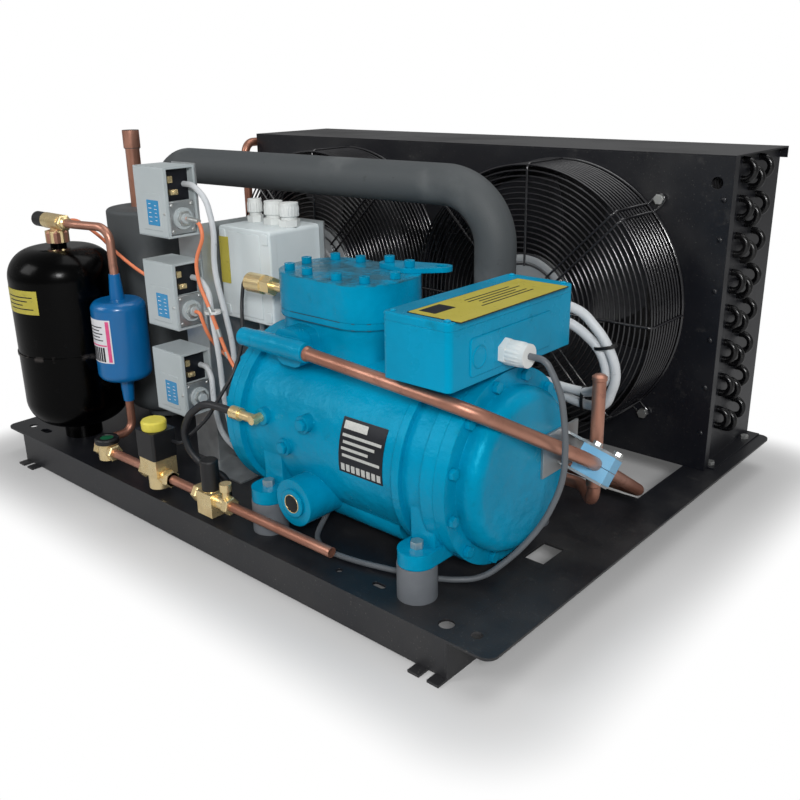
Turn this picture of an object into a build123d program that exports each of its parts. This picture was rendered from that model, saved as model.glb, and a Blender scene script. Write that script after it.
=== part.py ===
from build123d import *
import os
from math import cos, radians, sin, tan

os.makedirs("parts", exist_ok=True)

# Driving dimensions in millimetres. X runs along the condenser, Y to the rear, Z up from the floor.

# Base frame
base_length = 1000.0
base_depth = 750.0
half_length = base_length / 2
half_depth = base_depth / 2
plate_top = 50.0
sheet = 3.0
flange_width = 55.0
foot_width = 42.0
foot_reach = 14.0
plate_rear_y = 46.0
anchor_hole_r = 6.5
anchor_inset_x = 37.0
anchor_y = half_depth - 28.0

# Condenser
condenser_half = half_length - 26.0
condenser_front_y = 185.0
condenser_rear_y = 375.0
condenser_top = 494.0
thin_sheet = 2.0
end_plate_x = condenser_half - 12.0
tube_r = 4.8
tube_pitch = 25.4
tubes_high = 16
tube_z0 = 103.3
row_pitch = 29.0
first_row_y = 238.0
row_drops = (0.0, tube_pitch / 2, 0.0)
header_r = 11.0
condenser_bolt_ys = (211.0, 340.0)
condenser_bolt_x = condenser_half - 2.0

# Fans
fan_x = 218.0
fan_z = 275.0
guard_r = 204.0
guard_depth = 95.0
wire = 2.5
nozzle_r = 196.0
guard_bolt_offset = 157.0
blade_tip_r = 180.0
fan_hub_r = 58.0
fan_shaft_r = 8.0
running_gap = 0.05

# Compressor
axis_y = -214.0
axis_z = 177.5
case_left_x = 58.0
case_right_x = 389.0
case_r = 108.0
case_flange_r = 115.5
chamber_r = 92.0
motor_bore_r = 98.2
motor_left_x = 236.0
main_bearing_length = 20.0
foot_xs = (120.0, 366.0)
foot_offset_y = 114.0
foot_r = 22.0
mount_r = 23.0
mount_height = 42.0
lug_thickness = 18.0
gusset_width = 34.0
gusset_height = 68.0
head_x = 163.0
head_length = 182.0
head_depth = 124.0
head_corner_r = head_depth / 2 - 12.0
neck_top = 318.0
valve_plate_thickness = 8.0
head_height = 46.0
bore_r = 25.1
bore_xs = (125.0, 200.0)
throw = 10.0
journal_r = 15.0
shaft_r = 12.0
pin_r = 13.0
rod_length = 95.0
rod_width = 16.0

# Terminal box
box_x0 = 322.0
box_x1 = 412.0
box_y0 = -330.0
box_y1 = -100.0
box_z0 = 298.0
box_height = 63.0
lid_thickness = 9.0

# Copper lines
discharge_r = 7.95
liquid_r = 6.35
suction_r = 27.0
liquid_y = 17.0 - half_depth
liquid_z = 78.0

# Vessels
receiver_x = 128.0 - half_length
receiver_y = 69.0 - half_depth
receiver_r = 80.0
receiver_z0 = 75.0
receiver_z1 = 358.0
drier_x = receiver_x + 122.0
drier_y = receiver_y + 16.0
drier_r = 40.0
drier_z0 = 167.0
drier_z1 = 289.0
accumulator_x = receiver_x + 20.0
accumulator_y = receiver_y + 156.0
accumulator_r = 70.0
accumulator_z0 = 64.0
accumulator_z1 = 402.0

# Controls
bracket_x = -98.0
bracket_y = -241.0
bracket_top = 490.0
bracket_sheet = 2.5
control_width = 71.0
control_depth = 49.0
control_height = 94.0
control_pitch = 129.0
control_first_z = 183.0
junction_z0 = 273.0
junction_z1 = 404.0
junction_x0 = -95.0
junction_x1 = 14.0
junction_front_y = -200.0
junction_rear_y = -121.0

# Values worked out from the driving dimensions
web_x = half_length - flange_width
head_top = neck_top + valve_plate_thickness + head_height
lug_z0 = plate_top + mount_height
box_z1 = box_z0 + box_height
fan_y0 = condenser_front_y - guard_depth


def arc_radii(points, share=0.45):
    """Radius at each corner of a route: a share of its shorter run over the tangent of half the turn."""
    corners = [Vector(*point) for point in points]
    radii = []
    for before, at, after in zip(corners, corners[1:], corners[2:]):
        first = at - before
        second = after - at
        half_turn = radians(first.get_angle(second)) / 2
        radii.append(share * min(first.length, second.length) / tan(half_turn))
    return radii


def add_tube(points, radii, outer_r):
    """Sweep a round tube along straight runs joined by tangent arcs, into the open part."""
    with BuildLine() as route:
        FilletPolyline(*points, radius=radii)
    with BuildSketch(Plane(origin=route.line @ 0, z_dir=route.line % 0)) as section:
        Circle(outer_r)
    sweep(section.sketch, path=route.line)


def add_cable(name, points, outer_r):
    """Sweep a cable with arcs as large as its runs allow, and print their radii."""
    radii = arc_radii(points)
    print(name, "radii", [round(radius, 1) for radius in radii])
    add_tube(points, radii, outer_r)


def add_bolts(planes, across_flats, head_height, shank_r, shank_length):
    """Hexagon bolts, one on each plane, with the head above the plane and the shank below it."""
    with BuildSketch(*planes) as heads:
        RegularPolygon(radius=across_flats / 2, side_count=6, major_radius=False)
    extrude(heads.sketch, amount=head_height)
    with Locations(*planes):
        Cylinder(shank_r, shank_length, align=(Align.CENTER, Align.CENTER, Align.MAX))


def add_bar(start, direction, radius, length, mode=Mode.ADD):
    """Round bar from a start point along a direction, into the open part."""
    with Locations(Plane(origin=start, z_dir=direction)):
        Cylinder(radius, length, align=(Align.CENTER, Align.CENTER, Align.MIN), mode=mode)


def add_box(x_range, y_range, z_range, mode=Mode.ADD):
    """Box between two limits on each axis, into the open part."""
    sizes = [high - low for low, high in (x_range, y_range, z_range)]
    centre = [(high + low) / 2 for low, high in (x_range, y_range, z_range)]
    with Locations(tuple(centre)):
        Box(*sizes, mode=mode)


# Side rails: outward top flange, web down to the floor, foot flange with open slots at both ends
def side_rail(side):
    """Folded rail on one side of the base, with side -1 for left and 1 for right."""
    foot_x = side * (web_x - foot_width / 2)
    with BuildPart() as rail:
        with Locations((side * (half_length - flange_width / 2), 0, plate_top - sheet / 2)):
            Box(flange_width, base_depth, sheet)
        with Locations((side * (web_x - sheet / 2), 0, plate_top / 2)):
            Box(sheet, base_depth, plate_top)
        with Locations((foot_x, 0, sheet / 2)):
            Box(foot_width, base_depth + 2 * foot_reach, sheet)
        outer_corners = rail.edges().filter_by(Axis.Z).group_by(Axis.X)[0 if side < 0 else -1]
        fillet(outer_corners, radius=14)
        with BuildSketch(Plane.XY.offset(plate_top)):
            with Locations((side * (half_length - anchor_inset_x), -anchor_y)):
                Circle(anchor_hole_r)
            with Locations(*[(side * condenser_bolt_x, y) for y in condenser_bolt_ys]):
                Circle(4.5)
            with Locations((side * condenser_bolt_x, 276)):
                SlotOverall(26, 9, rotation=90)
        extrude(amount=-sheet, mode=Mode.SUBTRACT)
        with BuildSketch(Plane.XY):
            with Locations((foot_x, half_depth + foot_reach), (foot_x, -half_depth - foot_reach)):
                SlotOverall(44, 11, rotation=90)
        extrude(amount=sheet, mode=Mode.SUBTRACT)
    return rail


left_rail = side_rail(-1)
left_rail.part.label = "left_rail"
export_step(left_rail.part, "parts/left_rail.step")

right_rail = side_rail(1)
right_rail.part.label = "right_rail"
export_step(right_rail.part, "parts/right_rail.step")

# Plate under the compressor, with a skirt folded down at its front and rear
mount_places = [(x, axis_y + sign * foot_offset_y) for x in foot_xs for sign in (-1, 1)]
with BuildPart() as compressor_plate:
    plate_x = web_x - sheet
    add_box((-plate_x, plate_x), (-half_depth, plate_rear_y), (plate_top - sheet, plate_top))
    add_box((-plate_x, plate_x), (-half_depth, -half_depth + sheet), (sheet, plate_top - sheet))
    add_box((-plate_x, plate_x), (plate_rear_y - sheet, plate_rear_y), (sheet, plate_top - sheet))
    with BuildSketch(Plane.XY.offset(plate_top)):
        with Locations(*mount_places):
            Circle(4.5)
        with Locations((plate_x - 16, 24 - half_depth)):
            Circle(9)
        with Locations((18 - plate_x, 30 - half_depth), (116 - plate_x, 197 - half_depth)):
            SlotOverall(24, 12)
        with Locations((262, 28 - half_depth), (343, 49 - half_depth)):
            Circle(4)
        with Locations((320, 34 - half_depth)):
            SlotOverall(18, 8)
        with Locations((plate_x - 18, 215 - half_depth)):
            Rectangle(28, 46)
    extrude(amount=-sheet, mode=Mode.SUBTRACT)
compressor_plate.part.label = "compressor_plate"
export_step(compressor_plate.part, "parts/compressor_plate.step")

# Fan panel: front sheet of the condenser with two openings and their rolled nozzles
panel_plane = Plane(origin=(0, condenser_front_y, 0), x_dir=(1, 0, 0), z_dir=(0, -1, 0))
guard_bolt_points = [
    (side * fan_x + i * guard_bolt_offset, fan_z + j * guard_bolt_offset)
    for side in (-1, 1)
    for i in (-1, 1)
    for j in (-1, 1)
]
cover_z0 = condenser_top - thin_sheet
with BuildPart() as fan_panel:
    add_box(
        (-condenser_half, condenser_half),
        (condenser_front_y, condenser_front_y + thin_sheet),
        (plate_top, cover_z0),
    )
    with BuildSketch(panel_plane):
        with Locations((-fan_x, fan_z), (fan_x, fan_z)):
            Circle(nozzle_r)
        with Locations(*guard_bolt_points):
            Circle(3.4)
        with Locations((condenser_half - 22, condenser_top - 36)):
            Circle(8)
    extrude(amount=-thin_sheet, mode=Mode.SUBTRACT)
    with BuildSketch(panel_plane):
        with Locations((-fan_x, fan_z), (fan_x, fan_z)):
            Circle(nozzle_r + thin_sheet)
            Circle(nozzle_r, mode=Mode.SUBTRACT)
    extrude(amount=20)
    for side in (-1, 1):
        edge = sorted((side * (condenser_half - thin_sheet), side * condenser_half))
        add_box(edge, (condenser_front_y + thin_sheet, condenser_front_y + 14), (plate_top, cover_z0))
fan_panel.part.label = "fan_panel"
export_step(fan_panel.part, "parts/fan_panel.step")

# Top cover of the condenser, with a lip folded down at the rear
with BuildPart() as condenser_cover:
    cover_span = (-condenser_half, condenser_half)
    add_box(cover_span, (condenser_front_y, condenser_rear_y), (cover_z0, condenser_top))
    add_box(cover_span, (condenser_rear_y - thin_sheet, condenser_rear_y), (cover_z0 - 14, cover_z0))
condenser_cover.part.label = "condenser_cover"
export_step(condenser_cover.part, "parts/condenser_cover.step")

# End plates that carry the tubes, each with a foot flange bolted to its rail
tube_zs = [tube_z0 + level * tube_pitch for level in range(tubes_high)]
tube_rows = [(first_row_y + row * row_pitch, drop) for row, drop in enumerate(row_drops)]
coil_y0 = condenser_front_y + 14
coil_y1 = condenser_rear_y - thin_sheet
with BuildPart() as end_plates:
    for side in (-1, 1):
        plate_span = sorted((side * end_plate_x, side * (end_plate_x + thin_sheet)))
        flange_span = sorted((side * (end_plate_x + thin_sheet), side * (condenser_bolt_x + 11)))
        add_box(plate_span, (coil_y0, coil_y1), (plate_top, cover_z0))
        add_box(flange_span, (coil_y0, coil_y1), (plate_top, plate_top + thin_sheet))
        with BuildSketch(Plane.YZ.offset(side * end_plate_x)):
            with Locations(*[(y, z - drop) for y, drop in tube_rows for z in tube_zs]):
                Circle(tube_r + 0.3)
        extrude(amount=side * thin_sheet, mode=Mode.SUBTRACT)
        with BuildSketch(Plane.XY.offset(plate_top)):
            with Locations(*[(side * condenser_bolt_x, y) for y in condenser_bolt_ys]):
                Circle(4.5)
        extrude(amount=thin_sheet, mode=Mode.SUBTRACT)
end_plates.part.label = "end_plates"
export_step(end_plates.part, "parts/end_plates.step")

# Finned tube block
with BuildPart() as fin_block:
    add_box((-end_plate_x, end_plate_x), (coil_y0, coil_y1 - 6), (plate_top + 4, cover_z0 - 2))
fin_block.part.label = "fin_block"
export_step(fin_block.part, "parts/fin_block.step")

# Copper at the coil's ends: return bends, and on the left a gas header above and a liquid header below
bend_r = tube_pitch / 2
stub = thin_sheet + 3.0


def return_bend(side, y, z):
    """One bend on an end plate, centred between its two tubes."""
    x = side * end_plate_x
    points = [
        (x, y, z - bend_r),
        (x + side * (stub + bend_r), y, z - bend_r),
        (x + side * (stub + bend_r), y, z + bend_r),
        (x, y, z + bend_r),
    ]
    add_tube(points, bend_r * 0.98, tube_r)


header_x = -(end_plate_x + thin_sheet + 22.0)
header_y0 = first_row_y - header_r - 2
header_y1 = tube_rows[-1][0] + header_r + 2
header_zs = [z - tube_pitch / 4 for z in (tube_zs[0], tube_zs[-1])]
right_bend_zs = [tube_z0 + (2 * pair + 0.5) * tube_pitch for pair in range(tubes_high // 2)]
left_bend_zs = [tube_z0 + (2 * pair + 1.5) * tube_pitch for pair in range(tubes_high // 2 - 1)]
with BuildPart() as coil_copper:
    for y, drop in tube_rows:
        for z in right_bend_zs:
            return_bend(1, y, z - drop)
        for z in left_bend_zs:
            return_bend(-1, y, z - drop)
    for header_z, end_tube_z in zip(header_zs, (tube_zs[0], tube_zs[-1])):
        add_bar((header_x, header_y0, header_z), (0, 1, 0), header_r, header_y1 - header_y0)
        for y, drop in tube_rows:
            add_bar((-end_plate_x, y, end_tube_z - drop), (-1, 0, 0), tube_r, -header_x - end_plate_x)
coil_copper.part.label = "coil_copper"
export_step(coil_copper.part, "parts/coil_copper.step")


# Fan guard: deep wire basket, built up of rings and struts, with four ears for its bolts
def fan_guard(centre_x):
    """Wire basket in front of one fan opening."""
    front = Plane(origin=(centre_x, fan_y0, fan_z), x_dir=(1, 0, 0), z_dir=(0, -1, 0))
    wire_r = guard_r - wire
    ring_step = 10.0
    side_count = int(guard_depth // ring_step)
    with BuildPart() as guard:
        with BuildSketch(front):
            for index in range(14):
                ring_r = guard_r - index * ring_step
                Circle(ring_r)
                Circle(ring_r - wire, mode=Mode.SUBTRACT)
            inner_r = guard_r - 13 * ring_step
            with PolarLocations(0, 8):
                with Locations(((inner_r + guard_r) / 2 - wire, 0)):
                    Rectangle(guard_r - inner_r, wire)
        extrude(amount=-wire)
        side_planes = [front.offset(-(guard_depth - wire - step * ring_step)) for step in range(side_count)]
        with BuildSketch(*side_planes):
            Circle(guard_r)
            Circle(wire_r, mode=Mode.SUBTRACT)
        extrude(amount=-wire)
        with BuildSketch(front):
            with PolarLocations(guard_r - wire / 2, 8):
                Rectangle(wire, wire)
        extrude(amount=-guard_depth)
        with BuildSketch(front.offset(-(guard_depth - wire))):
            with PolarLocations(0, 4, start_angle=45):
                with Locations(((guard_r + 230) / 2 - wire, 0)):
                    Rectangle(230 - guard_r + wire, 16)
            with PolarLocations(guard_bolt_offset * 2**0.5, 4, start_angle=45):
                Circle(3.4, mode=Mode.SUBTRACT)
        extrude(amount=-wire)
    return guard


fan_guard_left = fan_guard(-fan_x)
fan_guard_left.part.label = "fan_guard_left"
export_step(fan_guard_left.part, "parts/fan_guard_left.step")

fan_guard_right = fan_guard(fan_x)
fan_guard_right.part.label = "fan_guard_right"
export_step(fan_guard_right.part, "parts/fan_guard_right.step")

# Fan motors: mounting disc behind the guard's inner ring, with a fixed shaft
disc_y0 = fan_y0 + wire
disc_thickness = 10.0
rotor_y0 = disc_y0 + disc_thickness + 2.0
rotor_length = 50.0
with BuildPart() as fan_motors:
    for side in (-1, 1):
        add_bar((side * fan_x, disc_y0, fan_z), (0, 1, 0), 76.0, disc_thickness)
        add_bar((side * fan_x, disc_y0 + disc_thickness, fan_z), (0, 1, 0), fan_shaft_r, rotor_length)
fan_motors.part.label = "fan_motors"
export_step(fan_motors.part, "parts/fan_motors.step")


# Fan rotor: external-rotor hub with five pitched blades
def fan_rotor(centre_x):
    """Hub and blades that turn about the fixed shaft of one fan."""
    blade_chord = 96.0
    blade_pitch = 28.0
    blade_root_r = fan_hub_r - 6
    blade_length = blade_tip_r - blade_root_r
    hub_plane = Plane(origin=(centre_x, rotor_y0, fan_z), x_dir=(1, 0, 0), z_dir=(0, -1, 0))
    middle_y = rotor_y0 + rotor_length / 2
    with BuildPart() as rotor:
        with BuildSketch(hub_plane):
            Circle(fan_hub_r)
        extrude(amount=-rotor_length)
        for blade in range(5):
            turn = 72.0 * blade + 18.0
            radial = (cos(radians(turn)), 0.0, sin(radians(turn)))
            start = (centre_x + blade_root_r * radial[0], middle_y, fan_z + blade_root_r * radial[2])
            tangent = Vector(-radial[2], 0, radial[0])
            lean = tangent * cos(radians(blade_pitch)) + Vector(0, 1, 0) * sin(radians(blade_pitch))
            with BuildSketch(Plane(origin=start, x_dir=lean, z_dir=radial)):
                Rectangle(blade_chord, 2.5)
            extrude(amount=blade_length)
        with BuildSketch(hub_plane):
            Circle(fan_shaft_r + running_gap)
        extrude(amount=-rotor_length, mode=Mode.SUBTRACT)
    return rotor


fan_rotor_left = fan_rotor(-fan_x)
fan_rotor_left.part.label = "fan_rotor_left"
export_step(fan_rotor_left.part, "parts/fan_rotor_left.step")

fan_rotor_right = fan_rotor(fan_x)
fan_rotor_right.part.label = "fan_rotor_right"
export_step(fan_rotor_right.part, "parts/fan_rotor_right.step")

# Crankcase and motor housing in one casting, with feet, cylinder block and bosses
sump_half_width = 75.0
sump_corner_r = 34.0
sump_z0 = 66.0
sump_z1 = 150.0
sump_x0 = 132.0
sump_x1 = 306.0
block_inset = 4.0
neck_depth = head_depth - 2 * block_inset
glass_x = 185.0
glass_z = 112.0
glass_face_y = -345.0
plug_face_y = axis_y - case_r - 5.0
oil_x = 112.0
oil_z = 200.0
suction_x = 270.0
suction_z = 180.0
suction_pad_y = -100.0
riser_start = (300.0, -126.0, 100.0)
pad_x0 = 118.0
pad_x1 = 166.0
pad_face_y = -284.0
pad_z0 = 266.0
pad_z1 = 312.0
pad_corner_r = 16.0
pad_centre = ((pad_x0 + pad_x1) / 2, pad_face_y, (pad_z0 + pad_z1) / 2)
pad_plane = Plane(origin=pad_centre, x_dir=(1, 0, 0), z_dir=(0, -1, 0))
head_bolt_points = [
    (head_x + dx, axis_y + dy)
    for dx, dy in [(-76, 0), (76, 0)] + [(sx * 64, sy * 40) for sx in (-1, 1) for sy in (-1, 1)]
    + [(sx * 25, sy * 47) for sx in (-1, 1) for sy in (-1, 1)]
]
case_axis = Plane.YZ.offset(case_left_x)
cover_bolt_r = 106.5
cover_bolt_count = 12
with BuildPart() as crankcase:
    with BuildSketch(case_axis):
        with Locations((axis_y, axis_z)):
            Circle(case_r)
    extrude(amount=case_right_x - case_left_x)
    for x0, x1 in ((case_left_x, case_left_x + 14), (330, 341), (case_right_x - 18, case_right_x)):
        with BuildSketch(Plane.YZ.offset(x0)):
            with Locations((axis_y, axis_z)):
                Circle(case_flange_r)
        extrude(amount=x1 - x0)
    with BuildSketch(Plane.YZ.offset(sump_x0)):
        with Locations((axis_y, (sump_z0 + sump_z1) / 2)):
            RectangleRounded(2 * sump_half_width, sump_z1 - sump_z0, sump_corner_r)
    extrude(amount=sump_x1 - sump_x0)
    with BuildSketch(Plane.XY.offset(axis_z + 60)):
        with Locations((head_x, axis_y)):
            RectangleRounded(head_length - 2 * block_inset, neck_depth, head_corner_r - block_inset)
    extrude(amount=neck_top - axis_z - 60)
    add_box((336, 396 - 10), (axis_y - 36, axis_y + 36), (axis_z + 90, box_z0))
    for x, y in mount_places:
        inward = 1 if y < axis_y else -1
        with BuildSketch(Plane.XY.offset(lug_z0)):
            with Locations((x, y)):
                Circle(foot_r)
            with Locations((x, y + inward * 40)):
                Rectangle(2 * foot_r, 80)
        extrude(amount=lug_thickness)
        gusset_y = y + inward * 10.5
        with BuildSketch(Plane.YZ.offset(x - gusset_width / 2)):
            with BuildLine():
                Polyline(
                    (gusset_y, lug_z0 + lug_thickness),
                    (gusset_y - inward * 1.5, lug_z0 + gusset_height),
                    (gusset_y + inward * 50, lug_z0 + gusset_height),
                    (gusset_y + inward * 50, lug_z0 + lug_thickness),
                    close=True,
                )
            make_face()
        extrude(amount=gusset_width)
    with BuildSketch(Plane(origin=(glass_x, glass_face_y, glass_z), z_dir=(0, -1, 0))):
        Circle(30)
    extrude(amount=-70)
    with BuildSketch(Plane(origin=(suction_x, suction_pad_y, suction_z), z_dir=(0, 1, 0))):
        Circle(26)
    extrude(amount=-40)
    with BuildSketch(Plane(origin=riser_start, z_dir=(0, 1, 0))):
        Circle(13)
    extrude(amount=-40)
    with BuildSketch(pad_plane):
        RectangleRounded(pad_x1 - pad_x0, pad_z1 - pad_z0, pad_corner_r)
    extrude(amount=pad_face_y - axis_y)
    for x, z in ((187, 208), (150, 169), (oil_x, oil_z)):
        with BuildSketch(Plane(origin=(x, plug_face_y, z), z_dir=(0, -1, 0))):
            Circle(11)
        extrude(amount=-40)
    # Crank chamber, motor chamber, main bearing, cylinder bores and bolt holes
    with BuildSketch(case_axis):
        with Locations((axis_y, axis_z)):
            Circle(chamber_r)
    extrude(amount=motor_left_x - main_bearing_length - case_left_x, mode=Mode.SUBTRACT)
    with BuildSketch(Plane.YZ.offset(motor_left_x)):
        with Locations((axis_y, axis_z)):
            Circle(motor_bore_r)
    extrude(amount=case_right_x - motor_left_x, mode=Mode.SUBTRACT)
    with BuildSketch(Plane.YZ.offset(motor_left_x - main_bearing_length)):
        with Locations((axis_y, axis_z)):
            Circle(journal_r + running_gap)
    extrude(amount=main_bearing_length, mode=Mode.SUBTRACT)
    with BuildSketch(Plane.XY.offset(neck_top)):
        with Locations(*[(x, axis_y) for x in bore_xs]):
            Circle(bore_r)
    extrude(amount=-(neck_top - axis_z), mode=Mode.SUBTRACT)
    with BuildSketch(Plane.XY.offset(neck_top)):
        with Locations(*head_bolt_points):
            Circle(4.2)
    extrude(amount=-24, mode=Mode.SUBTRACT)
    with BuildSketch(Plane.XY.offset(lug_z0)):
        with Locations(*mount_places):
            Circle(4.5)
    extrude(amount=lug_thickness, mode=Mode.SUBTRACT)
    for x, depth in ((case_right_x, -16), (case_left_x, 12)):
        with BuildSketch(Plane.YZ.offset(x)):
            with Locations((axis_y, axis_z)):
                with PolarLocations(cover_bolt_r, cover_bolt_count, start_angle=15):
                    Circle(3.2)
        extrude(amount=depth, mode=Mode.SUBTRACT)
crankcase.part.label = "crankcase"
export_step(crankcase.part, "parts/crankcase.step")

# Bearing cover on the left end
cover_thickness = 12.0
shaft_left_x = case_left_x + 4
with BuildPart() as bearing_cover:
    with BuildSketch(Plane.YZ.offset(case_left_x - cover_thickness)):
        with Locations((axis_y, axis_z)):
            Circle(case_flange_r)
    extrude(amount=cover_thickness)
    with BuildSketch(Plane.YZ.offset(case_left_x)):
        with Locations((axis_y, axis_z)):
            Circle(26)
    extrude(amount=26)
    with BuildSketch(Plane.YZ.offset(shaft_left_x - 2)):
        with Locations((axis_y, axis_z)):
            Circle(shaft_r + running_gap)
    extrude(amount=30, mode=Mode.SUBTRACT)
    with BuildSketch(Plane.YZ.offset(case_left_x - cover_thickness)):
        with Locations((axis_y, axis_z)):
            with PolarLocations(cover_bolt_r, cover_bolt_count, start_angle=15):
                Circle(3.4)
    extrude(amount=cover_thickness, mode=Mode.SUBTRACT)
bearing_cover.part.label = "bearing_cover"
export_step(bearing_cover.part, "parts/bearing_cover.step")

# Motor end cover on the right end: flange and shallow dome
dome_length = 26.0
end_flange = 16.0
dome_r = 96.0
with BuildPart() as motor_end_cover:
    with BuildSketch(Plane.YZ.offset(case_right_x + end_flange)):
        with Locations((axis_y, axis_z)):
            Circle(dome_r)
    extrude(amount=dome_length)
    fillet(motor_end_cover.edges().group_by(Axis.X)[-1], radius=16)
    with BuildSketch(Plane.YZ.offset(case_right_x)):
        with Locations((axis_y, axis_z)):
            Circle(case_flange_r)
    extrude(amount=end_flange)
    with BuildSketch(Plane.YZ.offset(case_right_x)):
        with Locations((axis_y, axis_z)):
            Circle(dome_r - 12)
    extrude(amount=end_flange + dome_length - 10, mode=Mode.SUBTRACT)
    with BuildSketch(Plane.YZ.offset(case_right_x)):
        with Locations((axis_y, axis_z)):
            with PolarLocations(cover_bolt_r, cover_bolt_count, start_angle=15):
                Circle(3.4)
    extrude(amount=end_flange, mode=Mode.SUBTRACT)
motor_end_cover.part.label = "motor_end_cover"
export_step(motor_end_cover.part, "parts/motor_end_cover.step")


def cover_bolt_planes(x, direction):
    """Planes for the ring of bolts on an end of the compressor."""
    planes = []
    for index in range(cover_bolt_count):
        angle = radians(15 + 360 * index / cover_bolt_count)
        place = (x, axis_y + cover_bolt_r * cos(angle), axis_z + cover_bolt_r * sin(angle))
        planes.append(Plane(origin=place, x_dir=(0, 0, 1), z_dir=(direction, 0, 0)))
    return planes


with BuildPart() as cover_bolts:
    add_bolts(cover_bolt_planes(case_right_x + end_flange, 1), 12, 6, 3.0, end_flange + 14)
    add_bolts(cover_bolt_planes(case_left_x - cover_thickness, -1), 12, 6, 3.0, cover_thickness + 10)
cover_bolts.part.label = "cover_bolts"
export_step(cover_bolts.part, "parts/cover_bolts.step")

# Valve plate between the cylinder block and the head
with BuildPart() as valve_plate:
    with BuildSketch(Plane.XY.offset(neck_top)):
        with Locations((head_x, axis_y)):
            RectangleRounded(head_length, head_depth, head_corner_r)
        with Locations(*head_bolt_points):
            Circle(4.2, mode=Mode.SUBTRACT)
        with Locations(*[(x, axis_y) for x in bore_xs]):
            Circle(6, mode=Mode.SUBTRACT)
    extrude(amount=valve_plate_thickness)
valve_plate.part.label = "valve_plate"
export_step(valve_plate.part, "parts/valve_plate.step")

# Cylinder head, hollow below, with a thick roof
roof = 12.0
head_z0 = neck_top + valve_plate_thickness
head_left_x = head_x - head_length / 2
sensor_y = axis_y - 24.0
sensor_z = head_z0 + 14.0
sensor_port = 8.0
with BuildPart() as cylinder_head:
    with BuildSketch(Plane.XY.offset(head_z0)):
        with Locations((head_x, axis_y)):
            RectangleRounded(head_length, head_depth, head_corner_r)
    extrude(amount=head_height)
    with BuildSketch(Plane.XY.offset(head_z0)):
        with Locations((head_x, axis_y)):
            RectangleRounded(head_length - 64, head_depth - 52, 20)
    extrude(amount=head_height - roof, mode=Mode.SUBTRACT)
    with BuildSketch(Plane.XY.offset(head_z0)):
        with Locations(*head_bolt_points):
            Circle(4.2)
    extrude(amount=head_height, mode=Mode.SUBTRACT)
    add_bar((head_left_x + sensor_port, sensor_y, sensor_z), (-1, 0, 0), 6, 12, mode=Mode.SUBTRACT)
cylinder_head.part.label = "cylinder_head"
export_step(cylinder_head.part, "parts/cylinder_head.step")

# Lifting lug: flat plate under two head bolts, with an eye that reaches past the head
lug_sheet = 6.0
lug_points = [(head_x + 25, axis_y + 47), (head_x + 64, axis_y + 40)]
eye_point = (head_x + 92, axis_y + 68)
with BuildPart() as lifting_lug:
    with BuildSketch(Plane.XY.offset(head_top)):
        with Locations(*lug_points, eye_point):
            Circle(13)
        make_hull()
        with Locations(*lug_points):
            Circle(4.5, mode=Mode.SUBTRACT)
        with Locations(eye_point):
            Circle(7, mode=Mode.SUBTRACT)
    extrude(amount=lug_sheet)
lifting_lug.part.label = "lifting_lug"
export_step(lifting_lug.part, "parts/lifting_lug.step")

# Head bolts: socket-head screws, two of them through the lifting lug
with BuildPart() as head_bolts:
    for x, y in head_bolt_points:
        seat = head_top + (lug_sheet if (x, y) in lug_points else 0.0)
        with BuildSketch(Plane.XY.offset(seat)):
            with Locations((x, y)):
                Circle(6.5)
        extrude(amount=8)
        with BuildSketch(Plane.XY.offset(seat + 8)):
            with Locations((x, y)):
                RegularPolygon(radius=3, side_count=6, major_radius=False)
        extrude(amount=-4, mode=Mode.SUBTRACT)
        with BuildSketch(Plane.XY.offset(seat)):
            with Locations((x, y)):
                Circle(4.0)
        extrude(amount=-(seat - neck_top + 20))
head_bolts.part.label = "head_bolts"
export_step(head_bolts.part, "parts/head_bolts.step")

# Motor stator with its two end windings, and the rotor on the shaft
stator_x0 = motor_left_x + 20
stator_length = 80.0
rotor_r = 54.7
stator_bore_r = 55.5
with BuildPart() as motor_stator:
    with BuildSketch(Plane.YZ.offset(stator_x0)):
        with Locations((axis_y, axis_z)):
            Circle(motor_bore_r)
            Circle(stator_bore_r, mode=Mode.SUBTRACT)
    extrude(amount=stator_length)
    for x in (stator_x0 - 15, stator_x0 + stator_length):
        with BuildSketch(Plane.YZ.offset(x)):
            with Locations((axis_y, axis_z)):
                Circle(90)
                Circle(62, mode=Mode.SUBTRACT)
        extrude(amount=15)
motor_stator.part.label = "motor_stator"
export_step(motor_stator.part, "parts/motor_stator.step")

rotor_bore_r = journal_r
with BuildPart() as motor_rotor:
    with BuildSketch(Plane.YZ.offset(stator_x0)):
        with Locations((axis_y, axis_z)):
            Circle(rotor_r)
            Circle(rotor_bore_r, mode=Mode.SUBTRACT)
    extrude(amount=stator_length)
motor_rotor.part.label = "motor_rotor"
export_step(motor_rotor.part, "parts/motor_rotor.step")

# Crankshaft: end journal, two throws half a turn apart, main journal and motor shaft
web_r = 25.0
web_thickness = 5.5
pin_length = rod_width + 3.0
throw_signs = (1, -1)


def shaft_stretch(x0, x1, radius, offset=0.0):
    """Cylinder of the shaft between two places on its axis."""
    add_bar((x0, axis_y, axis_z + offset), (1, 0, 0), radius, x1 - x0)


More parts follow.
